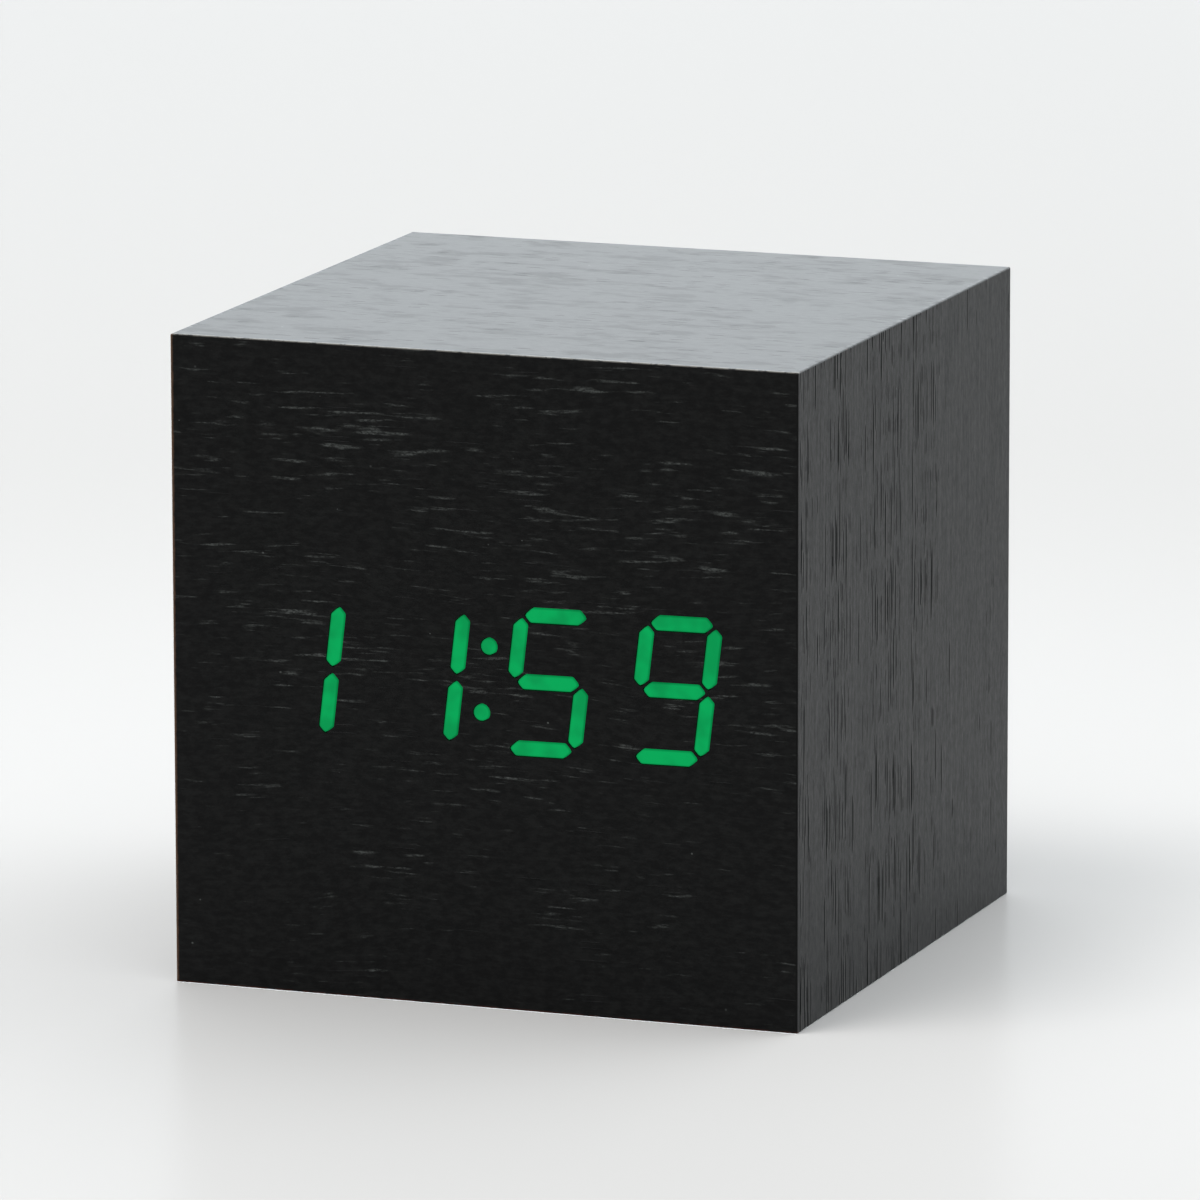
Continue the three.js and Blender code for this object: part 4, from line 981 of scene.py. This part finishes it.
def power_socket():
    low_corner, high_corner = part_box("power_socket")
    mouth = high_corner.y / MM
    body_top = Vector((high_corner.x, FLANGE_TOP * MM, high_corner.z))
    body = soften(block(low_corner, body_top), BODY_ROUND)
    nose = [(0, FLANGE_TOP - NOSE_ROOT), (NOSE_RADIUS, FLANGE_TOP - NOSE_ROOT)]
    nose += rounded(NOSE_RADIUS, mouth, NOSE_ROUND, 4) + [(0, mouth)]
    past_mouth = mouth + 0.05
    bore = [(0, BORE_FLOOR), (BORE_RADIUS, BORE_FLOOR), (BORE_RADIUS, mouth - 0.25),
            (BORE_RADIUS + BORE_FUNNEL, past_mouth), (0, past_mouth)]
    axis_place = axis_through("power_socket")
    shape = carve(body, turn(nose, axis_place), "UNION")
    shape = carve(shape, turn(bore, axis_place))
    finish_piece("barrel_socket", shape, black_plastic, "casing", ["power_socket"])
    print(f"power socket with a bore {mouth - BORE_FLOOR:.1f} mm deep")


power_socket()

# %% [markdown]
# ## Metal
#
# The screws are zinc plated and rolled, so they shine with a faint grain; the contacts of
# the battery compartment are nickel-plated spring steel. Both are metals with a fine
# noise on the roughness. A screw is drawn as one turned profile, head, neck and thread
# grooves, and its cross recess is carved with two tapered bars.

# %% Plated finishes
ZINC = (0.34, 0.35, 0.37)
NICKEL = (0.50, 0.48, 0.44)
SCRATCH_DEPTH = 0.006 * MM


def plated(name, colour, roughness, per_mm):
    recipe = Recipe(name, colour, roughness, metallic=1.0)
    spot = recipe.place()
    scratches = recipe.noise(spot, per_mm, 3.0)
    tarnish = recipe.step(recipe.noise(spot, 0.5, 3.0), 0.35, 0.7)
    recipe.feed("Base Color", recipe.blend(tarnish, colour, shade(colour, 0.7)))
    recipe.feed("Roughness", recipe.step(scratches, 0.3, 0.7, roughness - 0.07, roughness + 0.1))
    recipe.relief(scratches, SCRATCH_DEPTH)
    return recipe.material


zinc = plated("zinc", ZINC, 0.34, (4.0, 9.0, 4.0))
nickel = plated("nickel", NICKEL, 0.28, (2.0, 9.0, 2.0))
print("zinc and nickel")

# %% Screws
# Shares of the head's radius and height, from the middle of its top down to its rim.
HEAD_OUTLINE = ((0, 1), (0.55, 1), (0.78, 0.93), (0.93, 0.74), (1, 0.45), (1, 0.12), (0.95, 0))
SCREW_STEPS = 40
THREAD_PITCH = 0.5
THREAD_ROOT = 0.76
TIP_SHARE = 0.7
RECESS_ARM = 0.95
RECESS_HALF_WIDTH = 0.24
RECESS_DEPTH = 0.62
RECESS_TAPER = 0.6
# Each kind: axis, side of the head, head height and shank radius in mm, how many.
SCREWS = {
    "panel_screw": ("Y", 1, 1.1, 1.0, 2),
    "display_screw": ("Y", 1, 1.1, 1.0, 4),
    "control_board_screw": ("Y", -1, 1.1, 0.75, 2),
    "tray_screw": ("Z", -1, 0.9, 0.8, 2),
}


def screw_profile(radius, head_height, shank, length):
    """Head, thread and tip of a screw whose head sits at height 0."""
    profile = [(share * radius, rise * head_height) for share, rise in HEAD_OUTLINE]
    profile += [(shank, 0), (shank, -THREAD_PITCH)]
    depth = -1.5 * THREAD_PITCH
    while depth > shank - length + THREAD_PITCH:
        profile += [(THREAD_ROOT * shank, depth), (shank, depth - THREAD_PITCH / 2)]
        depth -= THREAD_PITCH
    return profile + [(TIP_SHARE * shank, shank - length), (0, -length)]


def pan_screw(node, axis, side, head_height, shank):
    low_corner, high_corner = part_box(node)
    index = "XYZ".index(axis)
    top = high_corner[index] if side > 0 else low_corner[index]
    tip = low_corner[index] if side > 0 else high_corner[index]
    seat = top / MM - side * head_height
    across = [high_corner[i] - low_corner[i] for i in range(3) if i != index]
    radius = max(across) / MM / 2
    profile = screw_profile(radius, head_height, shank, abs(tip / MM - seat))
    centre = axis_through(node, axis)
    placed = [(r, seat + side * height) for r, height in profile]
    shape = turn(placed, centre, axis, SCREW_STEPS)
    recess = (seat + side * (head_height + 0.05), seat + side * (head_height - RECESS_DEPTH))
    for a, b in ((RECESS_ARM, RECESS_HALF_WIDTH), (RECESS_HALF_WIDTH, RECESS_ARM)):
        outline = [(-a, -b), (a, -b), (a, b), (-a, b)]
        shape = carve(shape, prism(outline, recess, centre, axis, RECESS_TAPER))
    finish_piece(f"turned_{node}", shape, zinc, "casing", [node])


for kind, (axis, side, head_height, shank, count) in SCREWS.items():
    for i in range(count):
        pan_screw(f"{kind}_{i + 1}", axis, side, head_height, shank)
print(sum(facts[-1] for facts in SCREWS.values()), "screws")

# %% Pin and contacts
PIN_RADIUS = 0.65
PIN_ROUND = 0.3


def socket_pin(node):
    low_corner, high_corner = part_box(node)
    root, tip = low_corner.y / MM, high_corner.y / MM
    profile = [(0, root), (PIN_RADIUS, root), (PIN_RADIUS, tip - PIN_ROUND - 0.1)]
    profile += rounded(PIN_RADIUS, tip, PIN_ROUND) + [(0, tip)]
    pin = turn(profile, axis_through(node))
    finish_piece("turned_pin", pin, nickel, "casing", [node])


socket_pin("power_socket_pin")
for node in ("positive_contact", "negative_contact", "link_contact_right", "link_contact_left"):
    wear(node, nickel)
print("the pin and four contacts")

# %% [markdown]
# ## Battery compartment
#
# Tray and door are mouldings again. The cells are turned: a steel can in a printed
# sleeve that is shrunk over its shoulders, a nub at one end and a flat at the other. The
# sleeve is graphite grey with a silver band at the plus end, and bare of any print. One
# material tells sleeve from steel by how far a spot lies from the cell's ends and axis.

# %% Sleeve of a cell
SLEEVE = (0.060, 0.066, 0.075)
BAND = (0.40, 0.41, 0.42)
CAN_STEEL = (0.46, 0.46, 0.45)
CELL_NUB_LENGTH = 1.0
BAND_LENGTH = 12.0
SLEEVE_LIP = 0.75
STEEL_DEPTH = 0.12
cell_low, cell_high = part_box("battery_cell_1")
CELL_RADIUS = (cell_high.z - cell_low.z) / MM / 2


def sleeve(name, centre, half_length, nub_side):
    recipe = Recipe(name, SLEEVE, 0.30)
    x, y, z = recipe.place()
    along = recipe.times(x, nub_side)
    radius = recipe.length(recipe.minus(y, centre.y / MM), recipe.minus(z, centre.z / MM))
    shoulder = half_length - CELL_NUB_LENGTH
    edge = shoulder - BAND_LENGTH
    band = recipe.step(along, edge - 0.05, edge + 0.05)
    tone = recipe.blend(band, SLEEVE, BAND)
    # A hairline of the band's colour runs round the cell half a millimetre below it.
    hairline = recipe.times(recipe.step(along, edge - 0.9, edge - 0.86),
                            recipe.step(along, edge - 0.5, edge - 0.54))
    tone = recipe.blend(recipe.times(hairline, 0.8), tone, BAND)
    near_end = recipe.most(recipe.above(along, shoulder - STEEL_DEPTH),
                           recipe.below(along, STEEL_DEPTH - half_length))
    steel = recipe.times(near_end, recipe.below(radius, CELL_RADIUS - SLEEVE_LIP))
    recipe.feed("Base Color", recipe.blend(steel, tone, CAN_STEEL))
    recipe.feed("Metallic", recipe.most(steel, recipe.times(band, 0.75)))
    wrinkle = recipe.noise((x, y, z), (0.5, 2.0, 2.0))
    recipe.feed("Roughness", recipe.step(wrinkle, 0.3, 0.7, 0.24, 0.36))
    recipe.relief(wrinkle, 0.012 * MM)
    return recipe.material


print(f"cells {2 * CELL_RADIUS:.1f} mm thick")

# %% Cells
CELL_NUB_RADIUS = 1.9
CELL_SHOULDER = 0.6
NUB_ROUND = 0.25
CRIMP = 0.05  # the small step of the sleeve's edge on the steel


def battery_cell(node, nub_side):
    low_corner, high_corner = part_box(node)
    length = (high_corner.x - low_corner.x) / MM
    centre = centre_of(node)
    body = length - CELL_NUB_LENGTH
    lip = CELL_RADIUS - SLEEVE_LIP
    profile = [(0, 0), (lip - CRIMP, 0), (lip, CRIMP)]
    profile += arc(CELL_RADIUS - CELL_SHOULDER, CELL_SHOULDER, CELL_SHOULDER, -90, 0)
    profile += rounded(CELL_RADIUS, body, CELL_SHOULDER)
    profile += [(lip, body - CRIMP), (lip - CRIMP, body - 3 * CRIMP),
                (CELL_NUB_RADIUS + 0.3, body - 3 * CRIMP), (CELL_NUB_RADIUS, body - CRIMP)]
    profile += rounded(CELL_NUB_RADIUS, length, NUB_ROUND, 4) + [(0, length)]
    placed = [(radius, nub_side * (height - length / 2)) for radius, height in profile]
    finish = sleeve(f"sleeve_of_{node}", centre, length / 2, nub_side)
    shape = turn(placed, Vector((0, centre.y, centre.z)), "X")
    finish_piece(f"sleeved_{node}", shape, finish, "casing", [node])


for i, nub_side in enumerate((1, -1, 1)):
    battery_cell(f"battery_cell_{i + 1}", nub_side)
print("three cells, head to tail")

# %% Tray and door
TRAY_ROUND = 0.12
LATCH_TIP = 23.5
TRAY_END = 23.4
TRAY_END_FOOT = 12


def door_stays_sharp(place):
    """The thin tip of the latch tongue, which a round would eat."""
    return place.x > LATCH_TIP


def tray_stays_sharp(place):
    """The thin lips at the upper ends of the tray."""
    return abs(place.x) > TRAY_END and place.z > TRAY_END_FOOT


door = soften(take_mesh("battery_door"), TRAY_ROUND, door_stays_sharp)
finish_piece("moulded_door", door, black_plastic, "door", ["battery_door"])
tray = soften(take_mesh("battery_tray"), TRAY_ROUND, tray_stays_sharp)
finish_piece("moulded_tray", tray, black_plastic, "casing", ["battery_tray"])
print("tray and door")

# %% [markdown]
# ## Electronics
#
# The circuit boards are green glass laminate. Under the green lacquer the copper tracks
# show as slightly lighter lines that run mostly straight, and the bare tinned pads stand
# in rows. The switches, chips and the buzzer are black mouldings, the ribbon sockets and
# the plungers pale nylon. They are only seen when the clock is taken apart, so the boards
# keep the frame's solids, and the small mouldings are softened copies of them.

# %% Circuit boards
LACQUER = (0.010, 0.075, 0.028)
LACQUER_ON_COPPER = (0.022, 0.135, 0.045)
TINNED = (0.50, 0.50, 0.48)
LAMINATE = (0.28, 0.30, 0.15)
TRACK_GAP = 0.6
PAD_GRID = 1.27
COPPER_HEIGHT = 0.03 * MM


def circuit(name, board):
    recipe = Recipe(name, LACQUER, 0.30)
    x, y, z = recipe.place()
    # Tracks: in some fields they run level, in the others upright.
    field_place = recipe.join(recipe.times(x, 0.16), recipe.times(z, 0.2))
    upright, shown, spare = recipe.split(recipe.cells(field_place, "CHEBYCHEV")["Color"])
    level_track, upright_track = (
        recipe.step(recipe.maths("PINGPONG", part, TRACK_GAP), 0.40, 0.44) for part in (z, x))
    turned_up = recipe.above(upright, 0.5)
    chosen = recipe.plus(recipe.times(turned_up, upright_track),
                         recipe.times(recipe.minus(1.0, turned_up), level_track))
    tracks = recipe.times(chosen, recipe.above(shown, 0.35))
    # Pads: round, on a grid of a tenth of an inch, here and there.
    pad_x, pad_z = (
        recipe.minus(recipe.maths("PINGPONG", part, PAD_GRID), PAD_GRID / 2) for part in (x, z))
    reach = recipe.length(pad_x, pad_z)
    pads = recipe.times(recipe.step(reach, 0.42, 0.38), recipe.above(spare, 0.72))
    # The cut edge shows the bare laminate.
    low_corner, high_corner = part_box(board)
    gaps = [recipe.gap(part, place / MM) for part, place in (
        (x, low_corner.x), (x, high_corner.x), (z, low_corner.z), (z, high_corner.z))]
    edge = recipe.least(recipe.least(gaps[0], gaps[1]), recipe.least(gaps[2], gaps[3]))
    tone = recipe.blend(tracks, LACQUER, LACQUER_ON_COPPER)
    tone = recipe.blend(pads, tone, TINNED)
    tone = recipe.blend(recipe.step(edge, 0.06, 0.02), tone, LAMINATE)
    recipe.feed("Base Color", tone)
    recipe.feed("Metallic", pads)
    recipe.feed("Roughness", recipe.maths("MULTIPLY_ADD", pads, 0.08, 0.28))
    recipe.relief(recipe.most(tracks, pads), COPPER_HEIGHT)
    return recipe.material


for board in ("display_circuit", "control_circuit"):
    wear(f"{board}_board", circuit(board, f"{board}_board"))
print("two circuit boards")

# %% Small parts
# Each piece: its body, finish and slot, and the round of its edges in mm.
SOFTENED = {
    "clock_chip": ("casing", chip_black, "chip_black", 0.12),
    "alarm_buzzer": ("casing", chip_black, "chip_black", 0.25),
    "temperature_sensor": ("casing", chip_black, "chip_black", 0.1),
    "microphone": ("casing", zinc, "zinc_steel", 0.15),
    "ribbon_socket_front": ("casing", nylon, "socket_white", 0.15),
    "ribbon_socket_rear": ("casing", nylon, "socket_white", 0.15),
}
for key in ("set", "up", "down"):
    SOFTENED[f"{key}_switch"] = ("casing", chip_black, "chip_black", 0.12)
    SOFTENED[f"{key}_plunger"] = (f"{key}_key", nylon, "socket_white", 0.12)
for node, (body, material, slot, width) in SOFTENED.items():
    finish_piece(f"soft_{node}", soften(take_mesh(node), width), material, body, [node])
wear("segment_reflector", black_plastic)
print(len(SOFTENED), "softened small parts and the reflector")

# %% [markdown]
# ## Ribbon and leads
#
# The ribbon is twelve stranded cores side by side, fused along their sheaths, so its
# section is a row of small rounds. The two leads are single cores in red and black. All
# three are drawn along the same curve as in the frame: straight out of one socket, over
# in a gentle bend, and straight into the other.

# %% Curves and insulation
RED_MARK = (0.42, 0.02, 0.015)
RIBBON_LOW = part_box("ribbon_cable")[0].x / MM


def bezier(points, steps):
    """Places and directions along a cubic curve through four control points."""
    stations = []
    for i in range(steps + 1):
        t = i / steps
        s = 1 - t
        place = points[0] * s ** 3 + points[1] * 3 * s * s * t
        place = place + points[2] * 3 * s * t * t + points[3] * t ** 3
        way = (points[1] - points[0]) * s * s + (points[2] - points[1]) * 2 * s * t
        way = way + (points[3] - points[2]) * t * t
        stations.append((place, way.normalized()))
    return stations


def sweep(outline, stations, side):
    """Carries an outline of (across, up) offsets along the stations; side points across."""
    shape = bmesh.new()
    rings = []
    for place, way in stations:
        across = (side - way * side.dot(way)).normalized()
        up = way.cross(across)
        rings.append([shape.verts.new(place + across * a + up * b) for a, b in outline])
    for one, other in zip(rings, rings[1:]):
        for i in range(len(outline)):
            j = (i + 1) % len(outline)
            shape.faces.new([one[i], one[j], other[j], other[i]])
    shape.faces.new(rings[0])
    shape.faces.new(rings[-1])
    bmesh.ops.recalc_face_normals(shape, faces=shape.faces)
    return shape


def insulation(name, colour, first_core_marked=False):
    recipe = Recipe(name, colour, 0.45)
    spot = recipe.place()
    rub = recipe.noise(spot, 1.1, 3.0)
    tone = recipe.blend(recipe.step(rub, 0.35, 0.65), colour, shade(colour, 0.8))
    if first_core_marked:
        first_core = recipe.step(spot[0], RIBBON_LOW + 0.60, RIBBON_LOW + 0.56)
        tone = recipe.blend(first_core, tone, RED_MARK)
    recipe.feed("Base Color", tone)
    recipe.feed("Roughness", recipe.step(rub, 0.3, 0.7, 0.40, 0.52))
    recipe.relief(rub, 0.01 * MM)
    return recipe.material


print(f"the ribbon's marked core is at x = {RIBBON_LOW:.1f}")

# %% Ribbon cable
CORES = 12
POINTS_PER_CORE = 6
CORE_RADIUS = 0.35
VALLEY = 0.62  # the ribbon's thickness between two cores, as a share of a core's
RIBBON_GREY = (0.27, 0.29, 0.30)
RIBBON_PULL = Vector((0, 14.0 * MM, 0))


def ribbon():
    low_corner, high_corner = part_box("ribbon_cable")
    width = (high_corner.x - low_corner.x) / MM
    start = Vector((0, low_corner.y, high_corner.z - CORE_RADIUS * MM))
    end = Vector((0, high_corner.y, low_corner.z + CORE_RADIUS * MM))
    outline = []
    points = CORES * POINTS_PER_CORE
    for side in (1, -1):
        for i in range(points + 1):
            share = i / points
            across = (share - 0.5) * width * side
            bulge = VALLEY + (1 - VALLEY) * abs(math.sin(math.pi * share * CORES))
            outline.append((across * MM, side * CORE_RADIUS * bulge * MM))
    stations = bezier([start, start + RIBBON_PULL, end - RIBBON_PULL, end], 28)
    shape = sweep(outline, stations, Vector((1, 0, 0)))
    finish = insulation("ribbon_sheath", RIBBON_GREY, first_core_marked=True)
    finish_piece("ribbed_ribbon", shape, finish, "casing", ["ribbon_cable"])
    print(f"ribbon {width:.1f} mm wide")


ribbon()

# %% Leads
LEAD_RED = (0.40, 0.015, 0.012)
LEAD_BLACK = (0.010, 0.010, 0.010)
LEAD_RADIUS = 0.6
LEAD_SIDES = 16
LEAD_FOOT = (23.95, 11.1)  # x and y where a lead leaves its contact
LEAD_HEAD = (15.0, 26.4)  # x and z where it meets the board
LEAD_PULL = 4.0


def lead(node, side, colour):
    low_corner, high_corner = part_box(node)
    start = Vector((side * LEAD_FOOT[0], -side * LEAD_FOOT[1], low_corner.z / MM)) * MM
    end = Vector((side * LEAD_HEAD[0], high_corner.y / MM, LEAD_HEAD[1])) * MM
    points = [start, start + Vector((0, 0, LEAD_PULL)) * MM,
              end - Vector((0, LEAD_PULL, 0)) * MM, end]
    angles = [i * 2 * math.pi / LEAD_SIDES for i in range(LEAD_SIDES)]
    circle = [(LEAD_RADIUS * MM * math.cos(angle), LEAD_RADIUS * MM * math.sin(angle))
              for angle in angles]
    shape = sweep(circle, bezier(points, 30), Vector((side, 0.3, 0)))
    sheath = insulation(f"{node}_sheath", colour)
    finish_piece(f"round_{node}", shape, sheath, "casing", [node])


lead("positive_lead", 1, LEAD_RED)
lead("negative_lead", -1, LEAD_BLACK)
print("two leads")

# %% [markdown]
# ## Boards of the box
#
# Under the veneer the box is fibreboard, sawn and sanded. It shows only inside the panel's
# recess, round the battery opening and when the clock is taken apart: a warm brown felt
# of short fibres, darker where the saw has burnished it. A picture of board would do as
# well there; two noises do it without one, at a true scale on every cut face.

# %% Fibreboard
FIBRE = (0.25, 0.150, 0.080)
FIBRE_DARK = (0.115, 0.062, 0.030)
FIBRE_PALE = (0.40, 0.27, 0.16)
FELT_DEPTH = 0.06 * MM


def fibreboard():
    recipe = Recipe("fibreboard", FIBRE, 0.85)
    spot = recipe.place()
    felt = recipe.noise(spot, 3.2, 5.0, 0.7)
    burnish = recipe.noise(spot, 0.35)
    tone = recipe.blend(recipe.step(felt, 0.55, 0.35), FIBRE, FIBRE_DARK)
    tone = recipe.blend(recipe.step(felt, 0.60, 0.72, 0.0, 0.8), tone, FIBRE_PALE)
    tone = recipe.blend(recipe.step(burnish, 0.5, 0.7, 0.0, 0.45), tone, FIBRE_DARK)
    recipe.feed("Base Color", tone)
    recipe.feed("Roughness", recipe.step(burnish, 0.4, 0.7, 0.9, 0.72))
    recipe.relief(felt, FELT_DEPTH)
    return recipe.material


board_finish = fibreboard()
for side in ("front", "rear", "top", "base", "left", "right"):
    wear(f"{side}_board", board_finish)
print("six boards")
